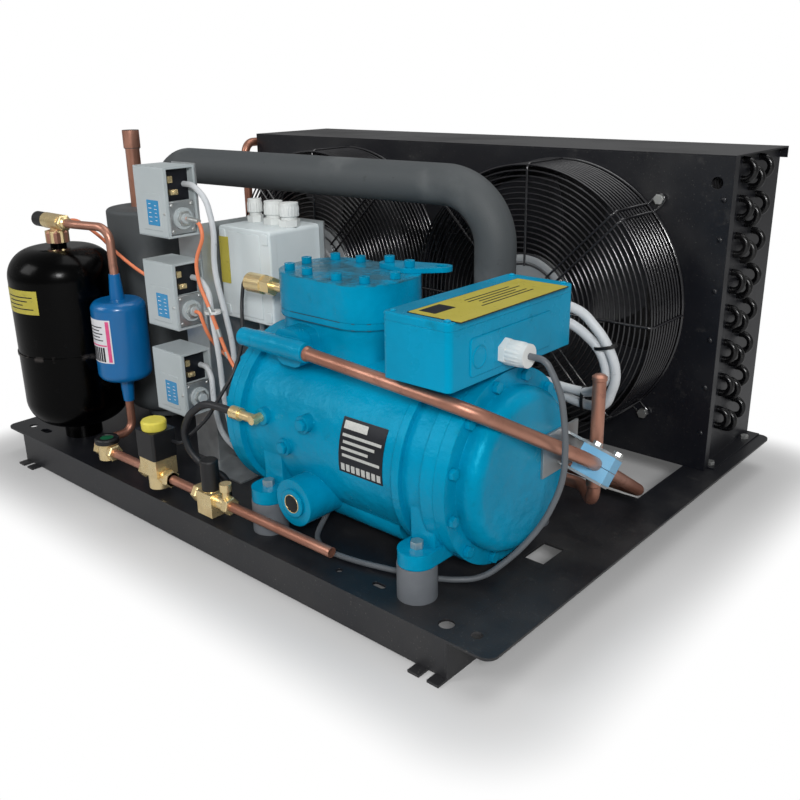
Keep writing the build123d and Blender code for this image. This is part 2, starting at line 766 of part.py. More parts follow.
with BuildPart() as crankshaft:
    half_pin = pin_length / 2
    first_x, second_x = bore_xs
    shaft_stretch(shaft_left_x, first_x - half_pin - web_thickness, shaft_r)
    shaft_stretch(first_x + half_pin + web_thickness, second_x - half_pin - web_thickness, shaft_r)
    shaft_stretch(second_x + half_pin + web_thickness - 1, stator_x0 + stator_length + 12, journal_r)
    for x, sign in zip(bore_xs, throw_signs):
        shaft_stretch(x - half_pin, x + half_pin, pin_r, sign * throw)
        shaft_stretch(x - half_pin - web_thickness, x - half_pin, web_r)
        shaft_stretch(x + half_pin, x + half_pin + web_thickness, web_r)
crankshaft.part.label = "crankshaft"
export_step(crankshaft.part, "parts/crankshaft.step")


# Connecting rod: big end round the crank pin, shank, and small end with its gudgeon pin
def connecting_rod(x, sign):
    """Upright rod over one throw of the crankshaft."""
    pin_z = axis_z + sign * throw
    with BuildPart() as rod:
        with BuildSketch(Plane.YZ.offset(x - rod_width / 2)):
            with Locations((axis_y, pin_z)):
                Circle(pin_r + 9)
            with Locations((axis_y, pin_z + rod_length / 2)):
                Rectangle(10, rod_length)
            with Locations((axis_y, pin_z + rod_length)):
                Circle(8)
            with Locations((axis_y, pin_z)):
                Circle(pin_r + running_gap, mode=Mode.SUBTRACT)
        extrude(amount=rod_width)
    return rod


connecting_rod_1 = connecting_rod(bore_xs[0], throw_signs[0])
connecting_rod_1.part.label = "connecting_rod_1"
export_step(connecting_rod_1.part, "parts/connecting_rod_1.step")

connecting_rod_2 = connecting_rod(bore_xs[1], throw_signs[1])
connecting_rod_2.part.label = "connecting_rod_2"
export_step(connecting_rod_2.part, "parts/connecting_rod_2.step")

# Pistons: open cups over the small ends
piston_length = 48.0
piston_top = neck_top - 2.0
with BuildPart() as pistons:
    with BuildSketch(Plane.XY.offset(piston_top)):
        with Locations(*[(x, axis_y) for x in bore_xs]):
            Circle(bore_r - running_gap)
    extrude(amount=-piston_length)
    with BuildSketch(Plane.XY.offset(piston_top - piston_length)):
        with Locations(*[(x, axis_y) for x in bore_xs]):
            Circle(21)
    extrude(amount=piston_length - 16, mode=Mode.SUBTRACT)
pistons.part.label = "pistons"
export_step(pistons.part, "parts/pistons.step")

# Rubber mounts under the four feet
with BuildPart() as rubber_mounts:
    with BuildSketch(Plane.XY.offset(plate_top)):
        with Locations(*mount_places):
            Circle(mount_r)
            Circle(4.5, mode=Mode.SUBTRACT)
    extrude(amount=mount_height)
rubber_mounts.part.label = "rubber_mounts"
export_step(rubber_mounts.part, "parts/rubber_mounts.step")

# Oil sight glass: ring and lens on the boss at the crankcase's front
with BuildPart() as oil_sight_glass:
    with BuildSketch(Plane(origin=(glass_x, glass_face_y, glass_z), z_dir=(0, -1, 0))):
        Circle(18)
    extrude(amount=2)
oil_sight_glass.part.label = "oil_sight_glass"
export_step(oil_sight_glass.part, "parts/oil_sight_glass.step")

# Terminal box and its lid
box_wall = 4.0
with BuildPart() as terminal_box:
    add_box((box_x0, box_x1), (box_y0, box_y1), (box_z0, box_z1))
    fillet(terminal_box.edges().filter_by(Axis.Z), radius=7)
    add_box(
        (box_x0 + box_wall, box_x1 - box_wall),
        (box_y0 + box_wall, box_y1 - box_wall),
        (box_z0 + box_wall, box_z1),
        mode=Mode.SUBTRACT,
    )
terminal_box.part.label = "terminal_box"
export_step(terminal_box.part, "parts/terminal_box.step")

with BuildPart() as terminal_lid:
    add_box((box_x0, box_x1), (box_y0, box_y1), (box_z1, box_z1 + lid_thickness))
    fillet(terminal_lid.edges().filter_by(Axis.Z), radius=7)
    chamfer(terminal_lid.faces().sort_by(Axis.Z)[-1].edges(), length=1.5)
terminal_lid.part.label = "terminal_lid"
export_step(terminal_lid.part, "parts/terminal_lid.step")

# Discharge service valve on the cylinder block's front pad
valve_y = -308.0
valve_z = 292.0
valve_x0 = 92.0
valve_x1 = 182.0
socket_depth = 14.0
valve_body_r = 12.5
nose_length = 22.0
nose_r = 7.0
line_start = (valve_x1 - socket_depth, valve_y, valve_z)
line_knee = (418.0, -311.0, 278.0)
line_direction = Vector(*line_knee) - Vector(*line_start)
with BuildPart() as discharge_valve:
    with BuildSketch(pad_plane):
        RectangleRounded(pad_x1 - pad_x0, pad_z1 - pad_z0, pad_corner_r)
    extrude(amount=18)
    add_bar((valve_x0, valve_y, valve_z), (1, 0, 0), valve_body_r, valve_x1 - valve_x0)
    add_bar((valve_x0, valve_y, valve_z), (-1, 0, 0), nose_r, nose_length)
    add_bar(line_start, line_direction, discharge_r, socket_depth + 5, mode=Mode.SUBTRACT)
discharge_valve.part.label = "discharge_valve"
export_step(discharge_valve.part, "parts/discharge_valve.step")

with BuildPart() as discharge_cap:
    add_bar((valve_x0 - 0.3, valve_y, valve_z), (-1, 0, 0), 11.5, nose_length + 4)
    with BuildSketch(Plane(origin=(valve_x0 - 0.3, valve_y, valve_z), z_dir=(-1, 0, 0))):
        Circle(nose_r + running_gap)
    extrude(amount=nose_length, mode=Mode.SUBTRACT)
discharge_cap.part.label = "discharge_cap"
export_step(discharge_cap.part, "parts/discharge_cap.step")

# Discharge line: along the front, round the motor end, back behind the compressor to the gas header
clamp_bend = Vector(case_right_x + 91.7, -167.4, 190.9)
line_turn = Vector(case_right_x + 63.0, 36.0, 66.0)
lane_end_z = 104.0
riser_y = 165.0
gas_z = header_zs[1]
discharge_points = [
    line_start,
    line_knee,
    tuple(clamp_bend),
    tuple(line_turn),
    (header_x, 36.0, lane_end_z),
    (header_x, riser_y, lane_end_z),
    (header_x, riser_y, gas_z),
    (header_x, header_y0, gas_z),
]
with BuildPart() as discharge_line:
    add_tube(discharge_points, [55.0, 80.0, 30.0, 30.0, 30.0, 20.0], discharge_r)
discharge_line.part.label = "discharge_line"
export_step(discharge_line.part, "parts/discharge_line.step")

# Pipe clamp: two plastic halves round the discharge line behind its second bend
clamp_axis = (line_turn - clamp_bend).normalized()
clamp_centre = clamp_bend + clamp_axis * 38.0
clamp_plane = Plane(origin=tuple(clamp_centre), x_dir=(0.973, 0.002, -0.230), z_dir=tuple(clamp_axis * -1))
clamp_length = 42.0
clamp_shift = -3.0
clamp_height = 33.0
clamp_width = 26.0
clamp_bolt_offset = 13.5
clamp_bolt_feet = [
    clamp_plane.from_local_coords((side * clamp_bolt_offset, -clamp_height / 2 - 10, 0)) for side in (-1, 1)
]
with BuildPart() as clamp_block:
    with BuildSketch(clamp_plane.offset(-clamp_width / 2)):
        with Locations((clamp_shift, 0)):
            Rectangle(clamp_length, clamp_height)
            Rectangle(clamp_length, 0.6, mode=Mode.SUBTRACT)
        Circle(discharge_r, mode=Mode.SUBTRACT)
    extrude(amount=clamp_width)
    for foot in clamp_bolt_feet:
        add_bar(foot, clamp_plane.y_dir, 3.3, clamp_height + 20, mode=Mode.SUBTRACT)
clamp_block.part.label = "clamp_block"
export_step(clamp_block.part, "parts/clamp_block.step")

# Clamp bracket: cover plates above and below the block, and a flange on the motor end cover
plate_gauge = 3.0
dome_x = case_right_x + end_flange + dome_length
with BuildPart() as clamp_bracket:
    with BuildSketch(clamp_plane.offset(-clamp_width / 2)):
        with Locations((-15, clamp_height / 2 + plate_gauge / 2)):
            Rectangle(clamp_length + 24, plate_gauge)
    extrude(amount=clamp_width)
    with BuildSketch(clamp_plane.offset(-clamp_width / 2)):
        with Locations((-12, -clamp_height / 2 - plate_gauge / 2)):
            Rectangle(clamp_length + 16, plate_gauge)
    extrude(amount=clamp_width)
    add_box((dome_x, dome_x + plate_gauge), (-186, -112), (160, 212))
    for foot in clamp_bolt_feet:
        add_bar(foot, clamp_plane.y_dir, 3.3, clamp_height + 20, mode=Mode.SUBTRACT)
clamp_bracket.part.label = "clamp_bracket"
export_step(clamp_bracket.part, "parts/clamp_bracket.step")

# Copper riser behind the clamp, from a port on the motor housing's rear
riser_points = [
    riser_start,
    (300.0, -56.0, 100.0),
    (412.0, -56.0, 100.0),
    (455.0, -103.0, 104.0),
    (455.0, -105.0, 268.0),
]
with BuildPart() as riser_pipe:
    add_tube(riser_points, [26.0, 26.0, 24.0], discharge_r)
riser_pipe.part.label = "riser_pipe"
export_step(riser_pipe.part, "parts/riser_pipe.step")

# Suction service valve on the pad at the housing's rear
suction_y = -56.0
suction_end_z = 232.0
with BuildPart() as suction_valve:
    add_bar((suction_x, suction_pad_y, suction_z), (0, 1, 0), 26, 12)
    add_bar((suction_x, suction_pad_y, suction_z), (0, 1, 0), 15, suction_y - suction_pad_y)
    add_bar((suction_x, suction_y, suction_z - 30), (0, 0, 1), 18, suction_end_z - suction_z + 30)
suction_valve.part.label = "suction_valve"
export_step(suction_valve.part, "parts/suction_valve.step")

# Insulated suction line from the accumulator over to the compressor
suction_top_z = 463.0
suction_drop_x = accumulator_x + 20
suction_drop_y = accumulator_y + 30
suction_points = [
    (suction_x, suction_y, suction_end_z),
    (suction_x, suction_y, suction_top_z),
    (suction_drop_x, suction_drop_y, suction_top_z + 5),
    (suction_drop_x, suction_drop_y, accumulator_z1),
]
with BuildPart() as suction_line:
    add_tube(suction_points, [75.0, 52.0], suction_r)
suction_line.part.label = "suction_line"
export_step(suction_line.part, "parts/suction_line.step")

# Insulated suction accumulator on its foot ring, with the copper suction stub and its swaged socket
stub_r = 11.0
socket_r = 13.0
stub_x = accumulator_x - 18
stub_y = accumulator_y - 10
stub_top = 522.0
swage_length = 28.0
with BuildPart() as suction_accumulator:
    with BuildSketch(Plane.XY.offset(accumulator_z0)):
        with Locations((accumulator_x, accumulator_y)):
            Circle(accumulator_r)
    extrude(amount=accumulator_z1 - accumulator_z0)
    fillet(suction_accumulator.edges().group_by(Axis.Z)[0], radius=26)
    fillet(suction_accumulator.edges().group_by(Axis.Z)[-1], radius=6)
    add_bar((accumulator_x, accumulator_y, plate_top), (0, 0, 1), 38, accumulator_z0 - plate_top + 4)
    add_bar((stub_x, stub_y, accumulator_z1 - 4), (0, 0, 1), stub_r, stub_top - accumulator_z1 + 4)
    add_bar((stub_x, stub_y, stub_top - swage_length), (0, 0, 1), socket_r, swage_length)
    with BuildSketch(Plane.XY.offset(stub_top)):
        with Locations((stub_x, stub_y)):
            Circle(stub_r)
    extrude(amount=-swage_length + 3, mode=Mode.SUBTRACT)
suction_accumulator.part.label = "suction_accumulator"
export_step(suction_accumulator.part, "parts/suction_accumulator.step")

# Liquid receiver: welded vessel on a foot ring, with an inlet stub near its bottom
inlet_z = 112.0
inlet_direction = Vector(cos(radians(126)), sin(radians(126)), 0)
inlet_face = Vector(receiver_x, receiver_y, inlet_z) + inlet_direction * (receiver_r + 8)
inlet_corner = inlet_face + inlet_direction * 60
with BuildPart() as liquid_receiver:
    with BuildSketch(Plane.XY.offset(receiver_z0)):
        with Locations((receiver_x, receiver_y)):
            Circle(receiver_r)
    extrude(amount=receiver_z1 - receiver_z0)
    fillet(liquid_receiver.edges().filter_by(GeomType.CIRCLE), radius=44)
    add_bar((receiver_x, receiver_y, plate_top), (0, 0, 1), 29, receiver_z0 - plate_top + 6)
    add_bar((receiver_x, receiver_y, receiver_z1 - 4), (0, 0, 1), 12, 10)
    add_bar((receiver_x, receiver_y, inlet_z), inlet_direction, 9, receiver_r + 8)
    with BuildSketch(Plane.XY.offset(196)):
        with Locations((receiver_x, receiver_y)):
            Circle(receiver_r + 1.5)
    extrude(amount=4)
liquid_receiver.part.label = "liquid_receiver"
export_step(liquid_receiver.part, "parts/liquid_receiver.step")

# Receiver valve with its union nut, and the spindle cap
receiver_top = receiver_z1 + 6
feed_z = 395.0
feed_x0 = receiver_x + 20
with BuildPart() as receiver_valve:
    with BuildSketch(Plane.XY.offset(receiver_top)):
        with Locations((receiver_x, receiver_y)):
            RegularPolygon(radius=15, side_count=6, major_radius=False)
    extrude(amount=18)
    add_bar((receiver_x, receiver_y, receiver_top + 18), (0, 0, 1), 9, feed_z - receiver_top - 18)
    add_bar((receiver_x - 26, receiver_y, feed_z), (1, 0, 0), 12, feed_x0 - receiver_x + 26)
    add_bar((receiver_x - 26, receiver_y, feed_z), (-1, 0, 0), nose_r, nose_length)
receiver_valve.part.label = "receiver_valve"
export_step(receiver_valve.part, "parts/receiver_valve.step")

with BuildPart() as receiver_cap:
    add_bar((receiver_x - 26.3, receiver_y, feed_z), (-1, 0, 0), 11.5, nose_length + 4)
    with BuildSketch(Plane(origin=(receiver_x - 26.3, receiver_y, feed_z), z_dir=(-1, 0, 0))):
        Circle(nose_r + running_gap)
    extrude(amount=nose_length, mode=Mode.SUBTRACT)
receiver_cap.part.label = "receiver_cap"
export_step(receiver_cap.part, "parts/receiver_cap.step")

# Filter drier: round body with a tapered neck at each end
neck_length = 38.0
with BuildPart() as filter_drier:
    with BuildSketch(Plane.XY.offset(drier_z0)):
        with Locations((drier_x, drier_y)):
            Circle(drier_r)
    extrude(amount=drier_z1 - drier_z0)
    fillet(filter_drier.edges().filter_by(GeomType.CIRCLE), radius=12)
    with Locations((drier_x, drier_y, drier_z1 + neck_length / 2 - 1)):
        Cone(11, 8, neck_length + 2)
    with Locations((drier_x, drier_y, drier_z0 - neck_length / 2 + 1)):
        Cone(8, 11, neck_length + 2)
filter_drier.part.label = "filter_drier"
export_step(filter_drier.part, "parts/filter_drier.step")

# Liquid line fittings, along the front edge from left to right
glass_x0, glass_x1 = drier_x + 20.0, drier_x + 60.0
solenoid_x0, solenoid_x1 = -112.0, -48.0
shutoff_x0, shutoff_x1 = 10.0, 80.0
outlet_x = 262.0
feed_lane_z = 63.0
with BuildPart() as liquid_pipes:
    add_tube(
        [
            (feed_x0, receiver_y, feed_z),
            (feed_x0 + 30, receiver_y, feed_z),
            (drier_x, drier_y, feed_z),
            (drier_x, drier_y, drier_z1 + neck_length),
        ],
        [60.0, 22.0],
        liquid_r,
    )
    add_tube(
        [
            (drier_x, drier_y, drier_z0 - neck_length),
            (drier_x, drier_y, liquid_z),
            (drier_x, liquid_y, liquid_z),
            (glass_x0, liquid_y, liquid_z),
        ],
        [18.0, 18.0],
        liquid_r,
    )
    add_bar((glass_x1, liquid_y, liquid_z), (1, 0, 0), liquid_r, solenoid_x0 - glass_x1)
    add_bar((solenoid_x1, liquid_y, liquid_z), (1, 0, 0), liquid_r, shutoff_x0 - solenoid_x1)
    with BuildSketch(Plane(origin=(shutoff_x1, liquid_y, liquid_z), z_dir=(1, 0, 0))):
        Circle(liquid_r)
        Circle(liquid_r - 1, mode=Mode.SUBTRACT)
    extrude(amount=outlet_x - shutoff_x1)
    add_tube(
        [
            (header_x, header_y0, header_zs[0]),
            (header_x, header_y0 - 25, header_zs[0]),
            (header_x, header_y0 - 50, feed_lane_z),
            (header_x, -124.0, feed_lane_z),
            tuple(inlet_corner),
            tuple(inlet_face),
        ],
        [22.0, 30.0, 50.0, 50.0],
        liquid_r,
    )
liquid_pipes.part.label = "liquid_pipes"
export_step(liquid_pipes.part, "parts/liquid_pipes.step")

# Liquid sight glass: brass tee with a dark ring round the window
with BuildPart() as liquid_sight_glass:
    add_bar((glass_x0, liquid_y, liquid_z), (1, 0, 0), 10, glass_x1 - glass_x0)
    glass_mid = (glass_x0 + glass_x1) / 2
    add_bar((glass_mid, liquid_y, liquid_z - 12), (0, 0, 1), 14, 24)
    add_bar((glass_mid, liquid_y, liquid_z + 12), (0, 0, 1), 17, 7)
liquid_sight_glass.part.label = "liquid_sight_glass"
export_step(liquid_sight_glass.part, "parts/liquid_sight_glass.step")

# Solenoid valve: brass body, and the coil with its round cap on top
solenoid_x = (solenoid_x0 + solenoid_x1) / 2
body_top = liquid_z + 28
coil_half = 19.0
coil_height = 40.0
with BuildPart() as solenoid_valve:
    add_bar((solenoid_x0, liquid_y, liquid_z), (1, 0, 0), 10, solenoid_x1 - solenoid_x0)
    add_box((solenoid_x - 19, solenoid_x + 19), (liquid_y - 16, liquid_y + 18), (liquid_z + 2, body_top))
    add_bar((solenoid_x, liquid_y, liquid_z - 18), (0, 0, 1), 15, 24)
solenoid_valve.part.label = "solenoid_valve"
export_step(solenoid_valve.part, "parts/solenoid_valve.step")

with BuildPart() as solenoid_coil:
    add_box(
        (solenoid_x - coil_half - 2, solenoid_x + coil_half + 1),
        (liquid_y - coil_half + 1, liquid_y + coil_half + 2),
        (body_top, body_top + coil_height),
    )
    fillet(solenoid_coil.edges().filter_by(Axis.Z), radius=4)
    add_bar((solenoid_x, liquid_y, body_top + coil_height), (0, 0, 1), 16, 12)
solenoid_coil.part.label = "solenoid_coil"
export_step(solenoid_coil.part, "parts/solenoid_coil.step")

# Shut-off valve with its access port, and the tall spindle cap
shutoff_x = shutoff_x0 + 29.0
access_x = shutoff_x1 - 10.0
shutoff_top = liquid_z + 13
with BuildPart() as shutoff_valve:
    add_bar((shutoff_x0, liquid_y, liquid_z), (1, 0, 0), 10, shutoff_x1 - shutoff_x0)
    add_box(
        (shutoff_x - 14, shutoff_x + 16),
        (liquid_y - 14, liquid_y + 14),
        (liquid_z - 20, liquid_z + 12),
    )
    add_bar((shutoff_x, liquid_y, liquid_z + 8), (0, 0, 1), 11, shutoff_top - liquid_z - 8)
    add_bar((shutoff_x, liquid_y, shutoff_top), (0, 0, 1), nose_r, nose_length)
    add_bar((access_x, liquid_y, liquid_z), (0, 0, 1), 5, 20)
    add_bar((access_x, liquid_y, liquid_z + 20), (0, 0, 1), 8, 10)
shutoff_valve.part.label = "shutoff_valve"
export_step(shutoff_valve.part, "parts/shutoff_valve.step")

with BuildPart() as shutoff_cap:
    add_bar((shutoff_x, liquid_y, shutoff_top + 0.3), (0, 0, 1), 12, 42)
    with BuildSketch(Plane.XY.offset(shutoff_top + 0.3)):
        with Locations((shutoff_x, liquid_y)):
            Circle(nose_r + running_gap)
    extrude(amount=nose_length, mode=Mode.SUBTRACT)
    fillet(shutoff_cap.edges().group_by(Axis.Z)[-1], radius=3)
shutoff_cap.part.label = "shutoff_cap"
export_step(shutoff_cap.part, "parts/shutoff_cap.step")

# Upright galvanised bracket: front flange for the controls, web, and rear flange for the junction box
bracket_left = bracket_x - 52.0
rear_flange_y = junction_rear_y
with BuildPart() as control_bracket:
    add_box((bracket_left, bracket_x), (bracket_y, bracket_y + bracket_sheet), (plate_top, bracket_top))
    add_box(
        (bracket_x - bracket_sheet, bracket_x),
        (bracket_y + bracket_sheet, rear_flange_y),
        (plate_top, junction_z1 + 4),
    )
    add_box(
        (bracket_x - bracket_sheet, junction_x1 + 9),
        (rear_flange_y, rear_flange_y + bracket_sheet),
        (150.0, junction_z1 + 4),
    )
    add_box((bracket_x, -12), (bracket_y - 30, bracket_y + 26), (plate_top, plate_top + bracket_sheet))
control_bracket.part.label = "control_bracket"
export_step(control_bracket.part, "parts/control_bracket.step")

# Three pressure controls, one above the other, each open on its right side over the bellows
control_x1 = bracket_x - 1.0
control_x0 = control_x1 - control_width
control_y0 = bracket_y - control_depth
control_mid_y = bracket_y - control_depth / 2
control_zs = [control_first_z + level * control_pitch for level in range(3)]
recess = 12.0
with BuildPart() as pressure_controls:
    for z in control_zs:
        low, high = z - control_height / 2, z + control_height / 2
        add_box((control_x0, control_x1), (control_y0, bracket_y), (low, high))
        add_box(
            (control_x1 - recess, control_x1),
            (control_y0 + 4, bracket_y - 3),
            (low + 3, high - 3),
            mode=Mode.SUBTRACT,
        )
        add_bar((control_x1 - recess, control_mid_y, z - 22), (1, 0, 0), 15, recess + 2)
        add_bar((control_x1 + 2, control_mid_y, z - 22), (1, 0, 0), 7, 7)
pressure_controls.part.label = "pressure_controls"
export_step(pressure_controls.part, "parts/pressure_controls.step")

# Junction box with its lid
lid_depth = 12.0
with BuildPart() as junction_box:
    add_box(
        (junction_x0, junction_x1),
        (junction_front_y, junction_rear_y),
        (junction_z0, junction_z1),
    )
    fillet(junction_box.edges().filter_by(Axis.Y), radius=6)
    add_box(
        (junction_x0 + 4, junction_x1 - 4),
        (junction_front_y, junction_rear_y - 4),
        (junction_z0 + 4, junction_z1 - 4),
        mode=Mode.SUBTRACT,
    )
junction_box.part.label = "junction_box"
export_step(junction_box.part, "parts/junction_box.step")

with BuildPart() as junction_lid:
    add_box(
        (junction_x0, junction_x1),
        (junction_front_y - lid_depth, junction_front_y),
        (junction_z0, junction_z1),
    )
    fillet(junction_lid.edges().filter_by(Axis.Y), radius=6)
    fillet(junction_lid.faces().sort_by(Axis.Y)[0].edges(), radius=2.5)
junction_lid.part.label = "junction_lid"
export_step(junction_lid.part, "parts/junction_lid.step")

# Cable glands: three on the junction box, one on the terminal box
gland_y = (junction_front_y + junction_rear_y) / 2
terminal_gland_y = -237.0
terminal_gland_z = 321.5
gland_length = 32.0
with BuildPart() as cable_glands:
    for x, radius in ((-74, 10), (-34, 13), (-2, 13)):
        with BuildSketch(Plane.XY.offset(junction_z1)):
            with Locations((x, gland_y)):
                RegularPolygon(radius=radius, side_count=6, major_radius=False)
        extrude(amount=9)
        add_bar((x, gland_y, junction_z1 + 9), (0, 0, 1), radius - 2, 5)
        add_bar((x, gland_y, junction_z1 + 14), (0, 0, 1), radius, 18)
    with BuildSketch(Plane(origin=(box_x1, terminal_gland_y, terminal_gland_z), z_dir=(1, 0, 0))):
        RegularPolygon(radius=13, side_count=6, major_radius=False)
    extrude(amount=9)
    add_bar((box_x1 + 9, terminal_gland_y, terminal_gland_z), (1, 0, 0), 13, gland_length - 9)
cable_glands.part.label = "cable_glands"
export_step(cable_glands.part, "parts/cable_glands.step")

# Brass fittings: pressure sensor on the head, oil fitting on the crankcase's front
elbow_y = plug_face_y - 10.0
with BuildPart() as brass_fittings:
    add_bar((head_left_x + sensor_port, sensor_y, sensor_z), (-1, 0, 0), 6, 32)
    with BuildSketch(Plane(origin=(head_left_x - 24, sensor_y, sensor_z), z_dir=(-1, 0, 0))):
        RegularPolygon(radius=11, side_count=6, major_radius=False)
    extrude(amount=18)
    add_bar((head_left_x - 42, sensor_y, sensor_z), (-1, 0, 0), 13, 30)
    add_bar((oil_x, plug_face_y, oil_z), (0, -1, 0), 6, 16)
    add_bar((oil_x + 4, elbow_y, oil_z), (-1, 0, 0), 6, 30)
    add_bar((oil_x - 26, elbow_y, oil_z), (-1, 0, 0), 8.5, 16)
brass_fittings.part.label = "brass_fittings"
export_step(brass_fittings.part, "parts/brass_fittings.step")

# Frame bolts: guards to panel, condenser to rails, compressor to plate, clamp and bracket foot
guard_bolt_planes = [
    Plane(origin=(x, condenser_front_y - wire, z), x_dir=(1, 0, 0), z_dir=(0, -1, 0))
    for x, z in guard_bolt_points
]
rail_bolt_planes = [
    Plane(origin=(side * condenser_bolt_x, y, plate_top + thin_sheet))
    for side in (-1, 1)
    for y in condenser_bolt_ys
]
mount_bolt_planes = [Plane(origin=(x, y, lug_z0 + lug_thickness)) for x, y in mount_places]
clamp_bolt_planes = [
    Plane(
        origin=clamp_plane.from_local_coords((side * clamp_bolt_offset, clamp_height / 2 + plate_gauge, 0)),
        z_dir=clamp_plane.y_dir,
    )
    for side in (-1, 1)
]
with BuildPart() as frame_bolts:
    add_bolts(guard_bolt_planes, 13, 6, 3.0, 9)
    add_bolts(rail_bolt_planes, 11, 5, 4.0, 9)
    add_bolts(mount_bolt_planes, 13, 8, 4.0, lug_thickness + mount_height + 6)
    add_bolts(clamp_bolt_planes, 10, 5, 3.0, clamp_height + 2 * plate_gauge)
frame_bolts.part.label = "frame_bolts"
export_step(frame_bolts.part, "parts/frame_bolts.step")

# Control cables, sensor lead and oil hose
cable_start_x = control_x1 - recess
cable_y = bracket_y - 11.0
top_z, middle_z, bottom_z = [z + 22 for z in reversed(control_zs)]
sensor_end_x = head_left_x - 72.0
hose_start_x = oil_x - 42.0
coil_side_x = solenoid_x + coil_half + 1
with BuildPart() as control_cables:
    add_cable(
        "top control cable",
        [
            (cable_start_x, cable_y, top_z),
            (-90.0, cable_y, top_z),
            (-66.0, -250.0, top_z - 17),
            (-54.0, -250.0, 407.0),
            (-60.0, -251.0, 352.0),
            (-52.0, -246.0, 300.0),
            (-44.0, -240.0, 240.0),
            (-50.0, -237.0, 185.0),
            (-48.0, -234.0, 130.0),
            (-44.0, -220.0, 84.0),
            (-32.0, -186.0, 62.0),
            (-22.0, -164.0, 100.0),
            (-22.0, -168.0, 158.0),
            (-20.0, -165.0, 215.0),
            (-20.0, -165.0, junction_z0),
        ],
        4.0,
    )
    add_cable(
        "middle control cable",
        [
            (cable_start_x, cable_y, middle_z),
            (-92.0, cable_y, middle_z),
            (-74.0, -252.0, middle_z - 16),
            (-66.0, -256.0, 280.0),
            (-60.0, -254.0, 225.0),
            (-66.0, -248.0, 165.0),
            (-64.0, -240.0, 105.0),
            (-57.0, -214.0, 66.0),
            (-50.0, -178.0, 66.0),
            (-44.0, -164.0, 112.0),
            (-47.0, -166.0, 170.0),
            (-45.0, -165.0, 225.0),
            (-45.0, -165.0, junction_z0),
        ],
        4.0,
    )
    add_cable(
        "bottom control cable",
        [
            (cable_start_x, cable_y, bottom_z),
            (-94.0, cable_y, bottom_z),
            (-82.0, -254.0, bottom_z - 14),
            (-80.0, -256.0, 150.0),
            (-80.0, -246.0, 100.0),
            (-78.0, -218.0, 64.0),
            (-74.0, -180.0, 66.0),
            (-69.0, -164.0, 112.0),
            (-72.0, -166.0, 170.0),
            (-70.0, -165.0, 225.0),
            (-70.0, -165.0, junction_z0),
        ],
        4.0,
    )
    add_cable(
        "sensor lead",
        [
            (sensor_end_x, sensor_y, sensor_z),
            (sensor_end_x - 14.0, sensor_y, sensor_z),
            (sensor_end_x - 16.0, -243.0, 306.0),
            (4.0, -260.0, 262.0),
            (12.0, -286.0, 226.0),
            (2.0, -308.0, 192.0),
            (-12.0, -318.0, 164.0),
            (coil_side_x + 18.0, liquid_y + 14.0, body_top + 22.0),
            (coil_side_x, liquid_y + 14.0, body_top + 22.0),
        ],
        2.5,
    )
    add_cable(
        "oil hose",
        [
            (hose_start_x, elbow_y, oil_z),
            (hose_start_x - 18.0, elbow_y, oil_z),
            (20.0, elbow_y - 6.0, oil_z + 2.0),
            (-14.0, elbow_y - 9.0, oil_z - 22.0),
            (-31.0, elbow_y - 8.0, oil_z - 52.0),
            (-24.0, elbow_y - 5.0, oil_z - 80.0),
            (-4.0, elbow_y + 6.0, oil_z - 102.0),
            (14.0, elbow_y + 24.0, plate_top + 34.0),
            (14.0, elbow_y + 24.0, plate_top),
        ],
        5.0,
    )
control_cables.part.label = "control_cables"
export_step(control_cables.part, "parts/control_cables.step")

# Capillary tubes: two from the controls to the crankcase, and one from the receiver valve to the bracket
bellows_x = control_x1 + 9.0
case_end_x = case_left_x - cover_thickness
capillary_r = 2.6
with BuildPart() as capillary_tubes:
    add_cable(
        "capillary of the top control",
        [
            (bellows_x, control_mid_y, control_zs[2] - 22),
            (bellows_x + 26, control_mid_y, control_zs[2] - 23),
            (-57.0, -266.0, 398.0),
            (-74.0, -270.0, 364.0),
            (-73.0, -268.0, 332.0),
            (-59.0, -264.0, 298.0),
            (-51.0, -259.0, 266.0),
            (-42.0, -254.0, 234.0),
            (-26.0, -250.0, 208.0),
            (14.0, -246.0, 196.0),
            (case_end_x, -246.0, 196.0),
        ],
        capillary_r,
    )
    add_cable(
        "capillary of the middle control",
        [
            (bellows_x, control_mid_y, control_zs[1] - 22),
            (bellows_x + 9, control_mid_y, control_zs[1] - 22),
            (-78.0, -258.0, 258.0),
            (-88.0, -236.0, 232.0),
            (-72.0, -226.0, 214.0),
            (-30.0, -222.0, 206.0),
            (14.0, -220.0, 204.0),
            (case_end_x, -220.0, 204.0),
        ],
        capillary_r,
    )
    add_cable(
        "capillary from the receiver",
        [
            (receiver_x + 8, receiver_y + 12, feed_z),
            (receiver_x + 8, receiver_y + 30, feed_z),
            (-346.0, -252.0, 370.0),
            (-295.0, -250.0, 342.0),
            (-240.0, -242.0, 316.0),
            (-180.0, -230.0, 300.0),
            (-130.0, -224.0, 292.0),
            (bracket_x - bracket_sheet, -224.0, 292.0),
        ],
        capillary_r,
    )
capillary_tubes.part.label = "capillary_tubes"
export_step(capillary_tubes.part, "parts/capillary_tubes.step")

